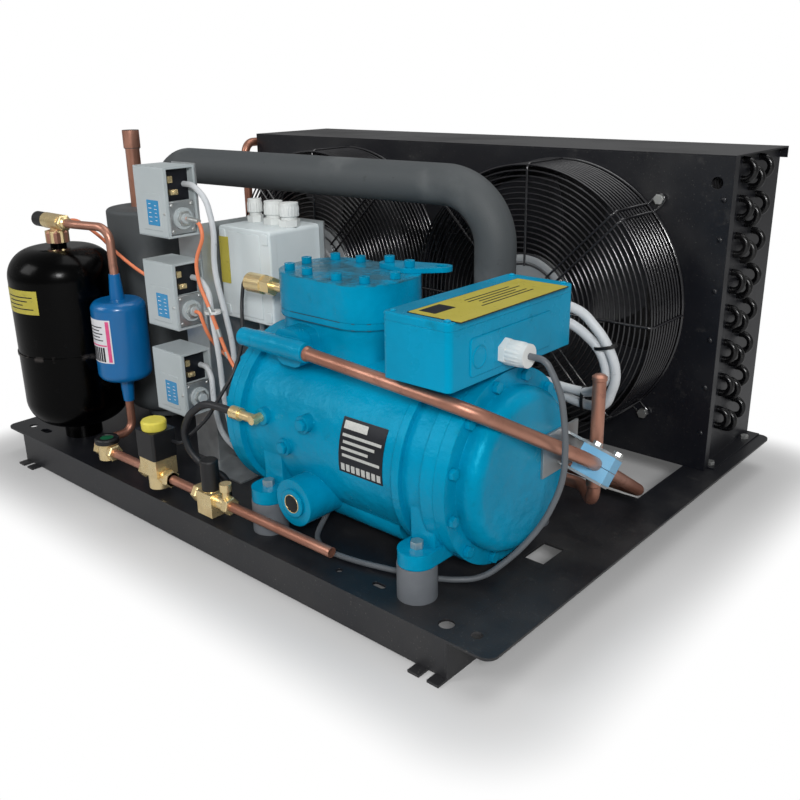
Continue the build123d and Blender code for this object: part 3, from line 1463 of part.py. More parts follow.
# Power cables: two motor cables to the junction box, and the grey cable to the crankcase heater
gland_end_x = box_x1 + gland_length
heater_y = axis_y - sump_half_width + sump_corner_r * (1 - cos(radians(45)))
heater_z = sump_z0 + sump_corner_r * (1 - sin(radians(45)))
with BuildPart() as power_cables:
    add_cable(
        "first motor cable",
        [
            (392.0, box_y1, 338.0),
            (392.0, -82.0, 338.0),
            (408.0, -68.0, 328.0),
            (438.0, -62.0, 296.0),
            (453.0, -57.0, 256.0),
            (434.0, -47.0, 207.0),
            (400.0, -40.0, 201.0),
            (360.0, -28.0, 202.0),
            (300.0, -9.0, 204.0),
            (240.0, -5.0, 214.0),
            (190.0, -12.0, 229.0),
            (150.0, -28.0, 238.0),
            (98.0, -60.0, 238.0),
            (60.0, -88.0, 240.0),
            (34.0, -118.0, 240.0),
            (27.0, -146.0, 244.0),
            (2.0, -150.0, 252.0),
            (2.0, -150.0, junction_z0),
        ],
        6.0,
    )
    add_cable(
        "second motor cable",
        [
            (372.0, box_y1, 322.0),
            (372.0, -80.0, 322.0),
            (396.0, -62.0, 308.0),
            (430.0, -60.0, 284.0),
            (440.0, -56.0, 248.0),
            (414.0, -46.0, 220.0),
            (360.0, -34.0, 215.0),
            (300.0, -22.0, 218.0),
            (240.0, -20.0, 219.0),
            (180.0, -30.0, 216.0),
            (126.0, -40.0, 215.0),
            (76.0, -62.0, 214.0),
            (35.0, -106.0, 218.0),
            (27.0, -142.0, 224.0),
            (21.0, -164.0, 230.0),
            (2.0, -176.0, 244.0),
            (2.0, -176.0, junction_z0),
        ],
        6.0,
    )
    add_cable(
        "heater cable",
        [
            (gland_end_x, terminal_gland_y, terminal_gland_z),
            (gland_end_x + 20.0, terminal_gland_y, terminal_gland_z),
            (480.0, -231.0, 288.0),
            (483.0, -222.0, 236.0),
            (478.0, -214.0, 180.0),
            (462.0, -224.0, 130.0),
            (440.0, -242.0, 92.0),
            (410.0, -266.0, 58.0),
            (374.0, -291.0, 54.5),
            (326.0, -309.0, 54.5),
            (270.0, -325.0, 54.5),
            (220.0, -331.0, 54.5),
            (192.0, -318.0, 57.0),
            (178.0, heater_y - 13.0, heater_z - 13.0),
            (178.0, heater_y, heater_z),
        ],
        3.5,
    )
power_cables.part.label = "power_cables"
export_step(power_cables.part, "parts/power_cables.step")
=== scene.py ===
import bmesh
import bpy
import numpy as np
from mathutils import Matrix, Vector


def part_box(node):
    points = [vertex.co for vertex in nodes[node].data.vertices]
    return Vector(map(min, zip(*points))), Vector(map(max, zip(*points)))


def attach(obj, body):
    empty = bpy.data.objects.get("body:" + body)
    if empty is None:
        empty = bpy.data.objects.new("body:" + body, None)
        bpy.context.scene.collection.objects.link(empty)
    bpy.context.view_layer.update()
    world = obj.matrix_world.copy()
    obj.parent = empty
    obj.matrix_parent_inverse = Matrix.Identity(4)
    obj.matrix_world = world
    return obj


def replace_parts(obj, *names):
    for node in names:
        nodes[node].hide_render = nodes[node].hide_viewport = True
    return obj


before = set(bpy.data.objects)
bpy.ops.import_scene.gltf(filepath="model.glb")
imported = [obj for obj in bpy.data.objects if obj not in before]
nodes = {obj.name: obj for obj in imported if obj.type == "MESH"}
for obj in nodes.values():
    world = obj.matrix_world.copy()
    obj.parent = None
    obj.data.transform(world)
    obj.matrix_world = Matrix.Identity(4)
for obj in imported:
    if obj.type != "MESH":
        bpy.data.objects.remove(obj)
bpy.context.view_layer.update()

# Studio
# The unit stands on a plain floor under soft lamps, and the camera looks at its front right corner
# from a little above, as in the photograph. The floor is pale grey near the unit, a painted shade
# round it that also holds its real shadow, and pure white beyond.


def colour(red, green, blue):
    """Screen colour from 0 to 255, turned into the linear value that shaders use."""
    return tuple(float(value) for value in (np.array([red, green, blue]) / 255.0) ** 2.2) + (1.0,)


class Value:
    """Socket of a material being built; Python's operators add its Math nodes."""

    def __init__(self, finish, socket):
        self.finish = finish
        self.socket = socket

    def math(self, operation, first, second=None):
        return self.finish.node("ShaderNodeMath", {"operation": operation}, {0: first, 1: second})

    def __add__(self, other):
        return self.math("ADD", self, other)

    def __radd__(self, other):
        return self.math("ADD", other, self)

    def __sub__(self, other):
        return self.math("SUBTRACT", self, other)

    def __mul__(self, other):
        return self.math("MULTIPLY", self, other)

    def __gt__(self, other):
        return self.math("GREATER_THAN", self, other)

    def __lt__(self, other):
        return self.math("LESS_THAN", self, other)

    def sine(self):
        return self.math("SINE", self)

    def size(self):
        return self.math("ABSOLUTE", self)

    def positive(self):
        return self.math("MAXIMUM", self, 0.0)


class Finish:
    """One material: a Principled shader, and the nodes that vary it over the surface."""

    def __init__(self, name):
        self.material = bpy.data.materials.new(name)
        self.material.use_nodes = True
        self.tree = self.material.node_tree
        self.tree.nodes.clear()
        self.output = self.tree.nodes.new("ShaderNodeOutputMaterial")

    def node(self, kind, settings=None, inputs=None, output=0):
        """Node of a type, with its settings, then the values or links of its sockets."""
        made = self.tree.nodes.new(kind)
        for key, setting in (settings or {}).items():
            setattr(made, key, setting)
        for key, value in (inputs or {}).items():
            if value is None:
                continue
            if isinstance(value, Value):
                self.tree.links.new(value.socket, made.inputs[key])
            else:
                made.inputs[key].default_value = value
        return Value(self, made.outputs[output])

    def place(self):
        return self.node("ShaderNodeTexCoord", output="Object")

    def axes(self):
        """X, Y and Z of the surface point, in metres."""
        split = self.node("ShaderNodeSeparateXYZ", inputs={0: self.place()})
        outputs = split.socket.node.outputs
        return [Value(self, outputs[index]) for index in range(3)]

    def noise(self, scale, detail=3.0, roughness=0.55, stretch=None):
        vector = self.place()
        if stretch:
            vector = self.node("ShaderNodeMapping", inputs={"Vector": vector, "Scale": stretch})
        return self.node(
            "ShaderNodeTexNoise",
            inputs={"Vector": vector, "Scale": scale, "Detail": detail, "Roughness": roughness},
        )

    def cells(self, scale, output="Distance"):
        return self.node(
            "ShaderNodeTexVoronoi", inputs={"Vector": self.place(), "Scale": scale}, output=output
        )

    def between(self, value, low, high, out_low=0.0, out_high=1.0):
        """Smooth step of a value from out_low at low to out_high at high."""
        return self.node(
            "ShaderNodeMapRange",
            {"interpolation_type": "SMOOTHSTEP"},
            {"Value": value, "From Min": low, "From Max": high, "To Min": out_low, "To Max": out_high},
        )

    def mix(self, factor, first, second):
        return self.node(
            "ShaderNodeMix", {"data_type": "RGBA"}, {0: factor, 6: first, 7: second}, output=2
        )

    def bump(self, height, distance, strength=1.0, rounded=0.0):
        edge = None
        if rounded > 0:
            edge = self.node("ShaderNodeBevel", {"samples": 4}, {"Radius": rounded})
        return self.node(
            "ShaderNodeBump",
            inputs={"Height": height, "Distance": distance, "Strength": strength, "Normal": edge},
        )

    def close(self, **sockets):
        """Principled shader with these sockets, named with underscores for spaces."""
        names = {key.replace("_", " "): value for key, value in sockets.items()}
        shader = self.node("ShaderNodeBsdfPrincipled", inputs=names)
        self.tree.links.new(shader.socket, self.output.inputs["Surface"])
        return self.material


floor_finish = Finish("white_floor")
floor_pale = floor_finish.mix(floor_finish.noise(3.0), (0.58, 0.58, 0.58, 1.0), (0.62, 0.62, 0.62, 1.0))
floor_surface = floor_finish.node("ShaderNodeBsdfDiffuse", inputs={"Color": floor_pale})
floor_glow = floor_finish.node("ShaderNodeEmission", inputs={"Strength": 0.07})
floor_near = floor_finish.node("ShaderNodeAddShader", inputs={0: floor_surface, 1: floor_glow})
floor_white = floor_finish.node("ShaderNodeEmission", inputs={"Strength": 1.0})
# Painted shade: within these bounds round the unit the floor is grey, and it fades to white past them.
grey_half_length, grey_half_depth = 0.48, 0.36
grey_fade_squared = 0.022
past_end = (floor_finish.axes()[0].size() - grey_half_length).positive()
past_side = (floor_finish.axes()[1].size() - grey_half_depth).positive()
past_squared = past_end * past_end + past_side * past_side
floor_far = floor_finish.between(past_squared, 0.0, grey_fade_squared)
floor_seen = floor_finish.node("ShaderNodeMixShader", inputs={0: floor_far, 1: floor_near, 2: floor_white})
floor_rays = floor_finish.node("ShaderNodeLightPath", output="Is Camera Ray")
floor_mix = floor_finish.node("ShaderNodeMixShader", inputs={0: floor_rays, 1: floor_surface, 2: floor_seen})
floor_finish.tree.links.new(floor_mix.socket, floor_finish.output.inputs["Surface"])

floor_mesh = bpy.data.meshes.new("floor")
floor_size = 14.0
floor_corners = np.array([[-1, -1, 0], [1, -1, 0], [1, 1, 0], [-1, 1, 0]]) * floor_size
floor_mesh.from_pydata(floor_corners.tolist(), [], [[0, 1, 2, 3]])
floor_mesh.materials.append(floor_finish.material)
floor = bpy.data.objects.new("floor", floor_mesh)
bpy.context.scene.collection.objects.link(floor)

world = bpy.data.worlds.new("studio")
bpy.context.scene.world = world
world.use_nodes = True
sky = world.node_tree
sky.nodes.clear()
sky_output = sky.nodes.new("ShaderNodeOutputWorld")
sky_rays = sky.nodes.new("ShaderNodeLightPath")
sky_soft = sky.nodes.new("ShaderNodeBackground")
sky_soft.inputs["Color"].default_value = (1.0, 1.0, 1.0, 1.0)
sky_soft.inputs["Strength"].default_value = 0.27
sky_white = sky.nodes.new("ShaderNodeBackground")
sky_white.inputs["Color"].default_value = (1.0, 1.0, 1.0, 1.0)
sky_white.inputs["Strength"].default_value = 1.0
sky_mix = sky.nodes.new("ShaderNodeMixShader")
sky.links.new(sky_rays.outputs["Is Camera Ray"], sky_mix.inputs[0])
sky.links.new(sky_soft.outputs[0], sky_mix.inputs[1])
sky.links.new(sky_white.outputs[0], sky_mix.inputs[2])
sky.links.new(sky_mix.outputs[0], sky_output.inputs["Surface"])
bpy.context.scene.view_settings.view_transform = "Standard"


def soft_lamp(name, place, target, width, watts):
    """Square area lamp at a place, facing a target."""
    lamp = bpy.data.lights.new(name, "AREA")
    lamp.size = width
    lamp.energy = watts
    holder = bpy.data.objects.new(name, lamp)
    holder.location = place
    aim = Vector(target) - Vector(place)
    holder.rotation_euler = aim.to_track_quat("-Z", "Y").to_euler()
    bpy.context.scene.collection.objects.link(holder)


soft_lamp("front_lamp", (1.9, -1.95, 1.5), (0.0, -0.1, 0.2), 0.55, 47.0)
soft_lamp("left_lamp", (-1.3, -2.3, 1.7), (-0.1, 0.0, 0.2), 1.2, 20.0)
soft_lamp("top_lamp", (0.3, 0.5, 2.8), (0.0, 0.0, 0.2), 2.0, 25.0)

camera_data = bpy.data.cameras.new("camera")
camera_data.sensor_width = 36.0
camera_data.lens = 40.33
camera_data.shift_y = -0.0208
camera = bpy.data.objects.new("camera", camera_data)
camera_right = Vector((0.7512, 0.6599, -0.0151)).normalized()
camera_forward = Vector((-0.6275, 0.7069, -0.3264)).normalized()
camera_up = camera_right.cross(camera_forward).normalized()
camera_axes = Matrix((camera_right, camera_up, -camera_forward)).transposed().to_4x4()
camera.matrix_world = Matrix.Translation((0.9311, -0.9882, 0.5998)) @ camera_axes
bpy.context.scene.collection.objects.link(camera)
bpy.context.scene.camera = camera

# Base frame and condenser casing
# Folded steel sheet with black powder coat: two side rails, the plate under the compressor, the fan
# panel, and the cover. The coat is fine orange peel with dust and handling scuffs on it.


def black_coat(name, shade=(30, 31, 35), dust=0.35, gloss=0.36):
    """Powder coat with orange peel, a film of dust, and pale specks."""
    finish = Finish(name)
    film = finish.between(finish.noise(6.0, 5.0), 0.42, 0.75)
    specks = finish.between(finish.noise(420.0, 2.0), 0.66, 0.74)
    scuffs = finish.between(finish.noise(22.0, 6.0, 0.7, (1.0, 4.0, 1.0)), 0.60, 0.72)
    base = finish.mix(film * dust, colour(*shade), colour(64, 63, 62))
    base = finish.mix(specks * dust * 0.8, base, colour(120, 118, 112))
    base = finish.mix(scuffs * dust * 0.5, base, colour(92, 90, 86))
    rough = gloss + film * 0.16 + scuffs * 0.12
    peel = finish.bump(finish.noise(700.0, 2.0), 0.0003, 0.35, 0.0008)
    return finish.close(Base_Color=base, Roughness=rough, Normal=peel)


def dress(material, *names):
    """Gives CAD nodes their material."""
    for name in names:
        node = nodes[name]
        if not node.material_slots:
            node.data.materials.append(material)
        for slot in node.material_slots:
            slot.material = material


base_coat = black_coat("base_coat", dust=0.5)
casing_coat = black_coat("casing_coat", shade=(24, 25, 30), dust=0.28, gloss=0.33)
dress(base_coat, "left_rail", "right_rail", "compressor_plate")
dress(casing_coat, "fan_panel", "condenser_cover", "end_plates")

# Coil
# Copper tubes through aluminium fins, sprayed black together with the return bends at both ends.
# The fins stand across the tubes, about two millimetres apart.
coil_finish = Finish("black_fins")
fin_pitch = 0.0021
fin_wave = (coil_finish.axes()[0] * (2.0 * np.pi / fin_pitch)).sine()
# Painted shade: the gaps between the fins are painted near black and the fins' edges lighter.
fins_lit_gaps_shaded = coil_finish.between(fin_wave, -0.2, 0.5)
fin_dust = coil_finish.between(coil_finish.noise(9.0, 5.0), 0.45, 0.7)
fin_colour = coil_finish.mix(fins_lit_gaps_shaded, colour(8, 8, 9), colour(46, 46, 50))
fin_colour = coil_finish.mix(fin_dust * 0.35, fin_colour, colour(84, 82, 78))
fin_bump = coil_finish.bump(fin_wave, 0.0006, 0.8)
dress(
    coil_finish.close(Base_Color=fin_colour, Roughness=0.45 + fin_dust * 0.2, Metallic=0.3, Normal=fin_bump),
    "fin_block",
)
dress(black_coat("sprayed_bends", shade=(12, 12, 14), dust=0.22, gloss=0.26), "coil_copper")


def grid(points, around=False, along=False, caps=False):
    """Points and quads of a surface on a rows x columns grid; caps close the first and last row."""
    rows, columns = points.shape[:2]
    index = np.arange(rows * columns).reshape(rows, columns)
    if around:
        index = np.hstack([index, index[:, :1]])
    if along:
        index = np.vstack([index, index[:1]])
    quads = np.stack([index[:-1, :-1], index[:-1, 1:], index[1:, 1:], index[1:, :-1]], axis=-1)
    faces = quads.reshape(-1, 4).tolist()
    if caps:
        faces.append(np.arange(columns)[::-1].tolist())
        faces.append((np.arange(columns) + (rows - 1) * columns).tolist())
    return points.reshape(-1, 3), faces


def unit(vector):
    """Vector divided by its length."""
    vector = np.array(vector, float)
    return vector / np.linalg.norm(vector)


def square_to(axis):
    """Two unit vectors square to an axis and to each other."""
    axis = unit(axis)
    hint = np.array([0.0, 0.0, 1.0]) if abs(axis[2]) < 0.9 else np.array([1.0, 0.0, 0.0])
    side = unit(np.cross(hint, axis))
    return side, np.cross(axis, side)


def lathe(centre, axis, profile, sides=40, turn=0.0):
    """Profile turned about an axis: centre + height * axis + radius * (cos t * side + sin t * other)."""
    profile = np.array(profile, float)
    side, other = square_to(axis)
    angle = np.linspace(0.0, 2.0 * np.pi, sides, endpoint=False) + turn
    spoke = np.cos(angle)[:, None] * side + np.sin(angle)[:, None] * other
    points = (
        np.array(centre, float)
        + profile[:, 1, None, None] * unit(axis)
        + profile[:, 0, None, None] * spoke[None]
    )
    return grid(points, around=True, caps=True)


def tube(path, radius, sides=8, closed=False, flat_to=(0.0, 0.0, 1.0)):
    """Round section along a path: point + radius * (cos t * normal + sin t * binormal)."""
    path = np.array(path, float)
    if closed:
        run = np.roll(path, -1, axis=0) - np.roll(path, 1, axis=0)
    else:
        run = np.gradient(path, axis=0)
    run /= np.linalg.norm(run, axis=1)[:, None]
    normal = np.array(flat_to, float) - (run @ np.array(flat_to, float))[:, None] * run
    normal /= np.linalg.norm(normal, axis=1)[:, None]
    binormal = np.cross(run, normal)
    angle = np.linspace(0.0, 2.0 * np.pi, sides, endpoint=False)
    offset = np.cos(angle)[:, None] * normal[:, None] + np.sin(angle)[:, None] * binormal[:, None]
    return grid(path[:, None] + radius * offset, around=True, along=closed, caps=not closed)


def rounded_outline(width, height, corner, steps=5):
    """Points round a rectangle: a quarter circle about each corner's centre."""
    quarter = np.arange(4)[:, None]
    angle = np.linspace(0.0, np.pi / 2, steps)[None] + quarter * np.pi / 2
    sign_x = np.array([1, -1, -1, 1])[:, None]
    sign_y = np.array([1, 1, -1, -1])[:, None]
    x = sign_x * (width / 2 - corner) + corner * np.cos(angle)
    y = sign_y * (height / 2 - corner) + corner * np.sin(angle)
    return np.stack([x.ravel(), y.ravel()], axis=-1)


def slab(centre, across, up, width, height, thick, corner=1.0, edge=0.3):
    """Rounded plate: its outline at the back and near the front, then drawn in by the edge."""
    across, up = unit(across), unit(up)
    out = np.cross(across, up)
    outer = rounded_outline(width, height, corner)
    inner = rounded_outline(width - 2 * edge, height - 2 * edge, max(corner - edge, 0.05))
    layers = [(outer, 0.0), (outer, thick - edge), (inner, thick)]
    middle = np.array(centre, float)
    rows = [middle + flat[:, :1] * across + flat[:, 1:] * up + rise * out for flat, rise in layers]
    return grid(np.stack(rows), around=True, caps=True)


def hexagon_head(centre, axis, across, height, turn=0.0):
    """Six-sided head of a width across flats, drawn in to a chamfer at its top."""
    corner = across / 3**0.5
    profile = [(corner, 0.0), (corner, height * 0.82), (corner * 0.84, height)]
    return lathe(centre, axis, profile, sides=6, turn=turn)


def round_head(centre, axis, radius, height):
    """Domed screw head: radius * cos t over height * sin t."""
    angle = np.linspace(0.0, np.pi / 2 * 0.96, 6)
    profile = np.stack([radius * np.cos(angle), height * np.sin(angle)], axis=-1)
    return lathe(centre, axis, profile, sides=20)


def piece(name, parts, material, body="root", smooth=35.0):
    """One object from parts in millimetres, with doubles merged, faces outwards and sharp edges kept."""
    points = []
    faces = []
    count = 0
    for part_points, part_faces in parts:
        points.append(part_points)
        faces.extend([[index + count for index in face] for face in part_faces])
        count += len(part_points)
    mesh = bpy.data.meshes.new(name)
    mesh.from_pydata((np.vstack(points) * 0.001).tolist(), [], faces)
    shell = bmesh.new()
    shell.from_mesh(mesh)
    bmesh.ops.remove_doubles(shell, verts=shell.verts, dist=1e-6)
    bmesh.ops.recalc_face_normals(shell, faces=shell.faces)
    shell.to_mesh(mesh)
    shell.free()
    mesh.shade_smooth()
    mesh.set_sharp_from_angle(angle=np.radians(smooth))
    mesh.materials.append(material)
    made = bpy.data.objects.new(name, mesh)
    bpy.context.scene.collection.objects.link(made)
    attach(made, body)
    return made


# Panel screws
# Small domed steel screws that hold the fan panel to the coil's end plates, six a side. They are
# painted with the panel; the frame's own bolts are bright zinc.


def two_tone(name, tone, low, high, rough, grain=None, **sockets):
    """Material from one screen colour to another over a noise of the given scale and detail. Rough is
    the least roughness and its rise; grain is its own noise, or None for the tone's, then the bump."""
    finish = Finish(name)
    shade = finish.noise(*tone)
    if grain:
        height = finish.noise(*grain[0]) if grain[0] else shade
        sockets["Normal"] = finish.bump(height, *grain[1:])
    base = finish.mix(shade, colour(*low), colour(*high))
    return finish.close(Base_Color=base, Roughness=rough[0] + shade * rough[1], **sockets)


zinc = two_tone(
    "bright_zinc",
    (260.0, 4.0),
    (180, 184, 186),
    (216, 216, 210),
    rough=(0.38, 0.2),
    grain=(None, 0.0002, 0.4, 0.0004),
    Metallic=1.0,
)
dress(zinc, "frame_bolts")
panel_y = 185.0
screw_x = 463.0
screw_zs = (437.0, 384.0, 314.0, 245.0, 176.0, 107.0)
screw_r, screw_rise = 4.0, 2.2
panel_screws = [
    round_head((side * screw_x, panel_y, z), (0, -1, 0), screw_r, screw_rise)
    for side in (-1, 1)
    for z in screw_zs
]
piece("panel_screws", panel_screws, casing_coat)

# Fan guards
# Deep baskets of black coated wire: flat rings in front, rings down the side, radial wires between
# them, and pairs of wires that run out to the four bolts on the panel.
fan_x = 218.0
fan_z = 275.0
guard_front_y = 91.5
guard_rear_y = panel_y - 3.0
guard_rim = 202.4
guard_wire = 1.5
first_ring = 62.0
ring_gap = 7.8
strut_y = guard_front_y - 2.0
strut_rim = guard_rim + 2.0
strut_wire = guard_wire * 1.15
strut_root = 60.0
pair_shift = 7.0
ear_reach = 222.0
ear_y = panel_y - 2.2
wire_coat = two_tone(
    "coated_wire",
    (60.0, 3.0),
    (18, 18, 20),
    (38, 38, 42),
    rough=(0.14, 0.12),
    grain=((900.0, 2.0), 0.0002, 0.3),
    Specular_IOR_Level=0.9,
)


def wire_ring(centre_x, y, radius, wire=guard_wire, sides=6, count=96):
    """Wire bent to a circle in a plane across the fan's axis."""
    angle = np.linspace(0.0, 2.0 * np.pi, count, endpoint=False)
    path = np.stack(
        [centre_x + radius * np.cos(angle), np.full(count, y), fan_z + radius * np.sin(angle)], axis=-1
    )
    return tube(path, wire, sides=sides, closed=True, flat_to=(0.0, 1.0, 0.0))


def strut(centre_x, angle, shift=0.0, ear=False):
    """Wire along a radius of the front, round the rim, and back to the panel."""
    spoke = np.array([np.cos(angle), 0.0, np.sin(angle)])
    tangent = np.array([-np.sin(angle), 0.0, np.cos(angle)])
    bend = np.linspace(0.0, np.pi / 2, 6)
    bend_r = 9.0
    outward = strut_rim - bend_r + bend_r * np.sin(bend)
    depth = strut_y + bend_r - bend_r * np.cos(bend)
    reach = [strut_root] + list(outward) + [strut_rim]
    depths = [strut_y] + list(depth) + [guard_rear_y]
    if ear:
        reach.append(ear_reach)
        depths.append(ear_y)
    centre = np.array([centre_x, 0.0, fan_z]) + shift * tangent
    rearward = np.array([0.0, 1.0, 0.0])
    path = centre + np.array(reach)[:, None] * spoke + np.array(depths)[:, None] * rearward
    return tube(path, strut_wire, sides=6, flat_to=tuple(tangent))


def fan_guard(name, centre_x):
    """All the wires of one basket."""
    front_radii = np.arange(first_ring, guard_rim - 3.0, ring_gap)
    side_depths = np.linspace(guard_front_y, guard_rear_y, 12)
    wires = [wire_ring(centre_x, guard_front_y, radius) for radius in front_radii]
    wires += [wire_ring(centre_x, depth, guard_rim) for depth in side_depths]
    wires.append(wire_ring(centre_x, guard_rear_y, guard_rim + 1.5, wire=2.6))
    for quarter in range(4):
        wires.append(strut(centre_x, quarter * np.pi / 2))
        diagonal = np.pi / 4 + quarter * np.pi / 2
        wires.append(strut(centre_x, diagonal, shift=-pair_shift, ear=True))
        wires.append(strut(centre_x, diagonal, shift=pair_shift, ear=True))
        spoke = np.array([np.cos(diagonal), 0.0, np.sin(diagonal)])
        tangent = np.array([-np.sin(diagonal), 0.0, np.cos(diagonal)])
        turn = np.linspace(-np.pi / 2, np.pi / 2, 9)
        eye = (
            np.array([centre_x, ear_y, fan_z])
            + (ear_reach + pair_shift * np.cos(turn))[:, None] * spoke
            + (pair_shift * np.sin(turn))[:, None] * tangent
        )
        wires.append(tube(eye, strut_wire, sides=6, flat_to=(0.0, 1.0, 0.0)))
    return piece(name, wires, wire_coat, smooth=60.0)


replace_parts(fan_guard("wire_guard_left", -fan_x), "fan_guard_left")
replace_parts(fan_guard("wire_guard_right", fan_x), "fan_guard_right")

# Fan motors
# External-rotor motors: a still cast disc in front that carries the guard, with raised rims and four
# screws, and the shaft behind it.
silver = two_tone(
    "silver_paint",
    (30.0, 5.0),
    (138, 142, 146),
    (176, 178, 178),
    rough=(0.42, 0.1),
    grain=((600.0, 3.0), 0.0004, 0.4, 0.0015),
    Metallic=0.55,
)
dress(silver, "fan_motors")
motor_front_y = 92.5
motor_screw_reach = 54.0
outer_rim = [(75.8, -0.2), (75.8, 1.6), (72.0, 2.6), (66.0, 2.6), (64.0, 0.8)]
inner_rim = [(44.0, 0.8), (42.0, 3.2), (30.0, 4.2), (12.0, 4.6), (0.4, 4.6)]
for side, label in ((-1, "left"), (1, "right")):
    centre = np.array([side * fan_x, motor_front_y, fan_z])
    disc = [lathe(centre, (0, -1, 0), outer_rim + inner_rim, sides=64)]
    for quarter in range(4):
        angle = np.pi / 4 + quarter * np.pi / 2
        spoke = np.array([np.cos(angle), 0.0, np.sin(angle)])
        place = centre + motor_screw_reach * spoke + np.array([0.0, -0.8, 0.0])
        disc.append(hexagon_head(place, (0, -1, 0), 9.0, 4.0))
    piece("motor_face_" + label, disc, silver)

# Fan rotors
# Five swept steel blades on the turning drum of each motor, all dipped black. The whole wheel
# turns behind the guard.
blade_count = 5
blade_root = 54.0
blade_span = 129.0
blade_y = 129.5
blade_gauge = 1.8
drum_y = 104.5
drum_profile = [(8.2, 0.0), (50.0, 0.0), (57.8, 5.0), (57.8, 44.0), (52.0, 50.0), (8.2, 50.0)]
blade_coat = two_tone(
    "dipped_blades",
    (14.0, 4.0),
    (20, 20, 22),
    (44, 44, 48),
    rough=(0.3, 0.15),
    grain=((500.0, 2.0), 0.0002, 0.3),
)


def fan_blade(centre_x, turn):
    """Blade on a grid of span and chord: swept towards the tip, cambered, and pitched less at the tip."""
    span = np.linspace(0.0, 1.0, 14)[:, None]
    chord = np.linspace(-1.0, 1.0, 13)[None]
    radius = blade_root + blade_span * span
    half_angle = (0.62 - 0.12 * span) * 0.86
    angle = turn + 0.26 * span**1.5 + half_angle * chord
    depth = blade_y + (19.0 - 4.0 * span) * chord + 5.0 * (1.0 - chord**2)
    front = np.stack([centre_x + radius * np.cos(angle), depth, fan_z + radius * np.sin(angle)], axis=-1)
    back = front + np.array([0.0, blade_gauge, 0.0])
    ring = np.concatenate([front, back[:, ::-1]], axis=1)
    return grid(ring, around=True, caps=True)


for centre_x, label in ((-fan_x, "left"), (fan_x, "right")):
    rotor_parts = [lathe((centre_x, drum_y, fan_z), (0, 1, 0), drum_profile, sides=56)]
    turns = [2.0 * np.pi * blade / blade_count + 0.3 for blade in range(blade_count)]
    rotor_parts += [fan_blade(centre_x, turn) for turn in turns]
    rotor = piece("fan_wheel_" + label, rotor_parts, blade_coat, label + "_fan")
    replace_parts(rotor, "fan_rotor_" + label)

# Compressor castings
# Grey iron crankcase, motor housing, covers and cylinder head, all under one coat of turquoise
# enamel that shows the sand of the castings, with patches of dirt and an uneven gloss.


def enamel(name, sand=1.0, gloss=0.16, rounded=0.0022, grimy_above=9.0):
    """Turquoise enamel over sand grain, with grime above a height in metres, which is out of reach
    unless it is given."""
    finish = Finish(name)
    patch = finish.between(finish.noise(9.0, 5.0), 0.35, 0.7)
    dirt = finish.between(finish.noise(34.0, 6.0, 0.7), 0.60, 0.74)
    base = finish.mix(patch, colour(0, 128, 164), colour(0, 144, 184))
    base = finish.mix(dirt * 0.4, base, colour(16, 88, 104))
    height = finish.axes()[2]
    grime = (height > grimy_above) * finish.between(finish.noise(26.0, 6.0, 0.7), 0.36, 0.58)
    base = finish.mix(grime * 0.75, base, colour(58, 88, 98))
    grain = finish.noise(330.0, 4.0, 0.6)
    lumps = finish.noise(60.0, 2.0)
    waves = finish.noise(21.0, 2.0)
    normal = finish.bump(grain * 0.4 + lumps + waves * 2.0, 0.0016 * sand, 0.7, rounded)
    rough = gloss + patch * 0.1 + dirt * 0.2
    return finish.close(
        Base_Color=base,
        Roughness=rough,
        Specular_IOR_Level=0.45,
        Specular_Tint=(0.05, 0.55, 0.72, 1.0),
        Normal=normal,
    )


cast_enamel = enamel("enamel_on_casting")
smooth_enamel = enamel("enamel_on_sheet", sand=0.25, gloss=0.2, rounded=0.0018)
head_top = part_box("cylinder_head")[1][2] - 0.002
dress(enamel("enamel_on_head", grimy_above=head_top), "cylinder_head")
dress(
    cast_enamel,
    "crankcase",
    "bearing_cover",
    "motor_end_cover",
    "discharge_valve",
    "discharge_cap",
)
dress(smooth_enamel, "terminal_box", "terminal_lid", "lifting_lug")
dress(smooth_enamel, "head_bolts", "cover_bolts", "valve_plate")

# Gaskets and plugs
# Dark paper gaskets squeezed out at the joints of the cylinder head, and screwed iron plugs in the
# bosses of the crankcase. Plates that face front, right or up are laid out by two directions.
facing_front = ((1, 0, 0), (0, 0, 1))
facing_right = ((0, 1, 0), (0, 0, 1))
facing_up = ((1, 0, 0), (0, 1, 0))
shaft_y, shaft_z = -214.0, 177.5
gasket_paper = two_tone(
    "gasket_paper",
    (300.0, 3.0),
    (14, 60, 76),
    (24, 84, 100),
    rough=(0.55, 0.2),
    grain=(None, 0.0004, 0.5),
)
gaskets = [
    slab((163.0, shaft_y, z), *facing_up, 182.6, 124.6, 1.0, corner=50.0, edge=0.2) for z in (317.6, 325.6)
]
piece("head_gaskets", gaskets, gasket_paper)
plug_face_y = -327.0
plug_places = ((187.0, 208.0), (150.0, 169.0))
plugs = [hexagon_head((x, plug_face_y, z), (0, -1, 0), 14.0, 5.0, 0.3) for x, z in plug_places]
piece("case_plugs", plugs, cast_enamel)

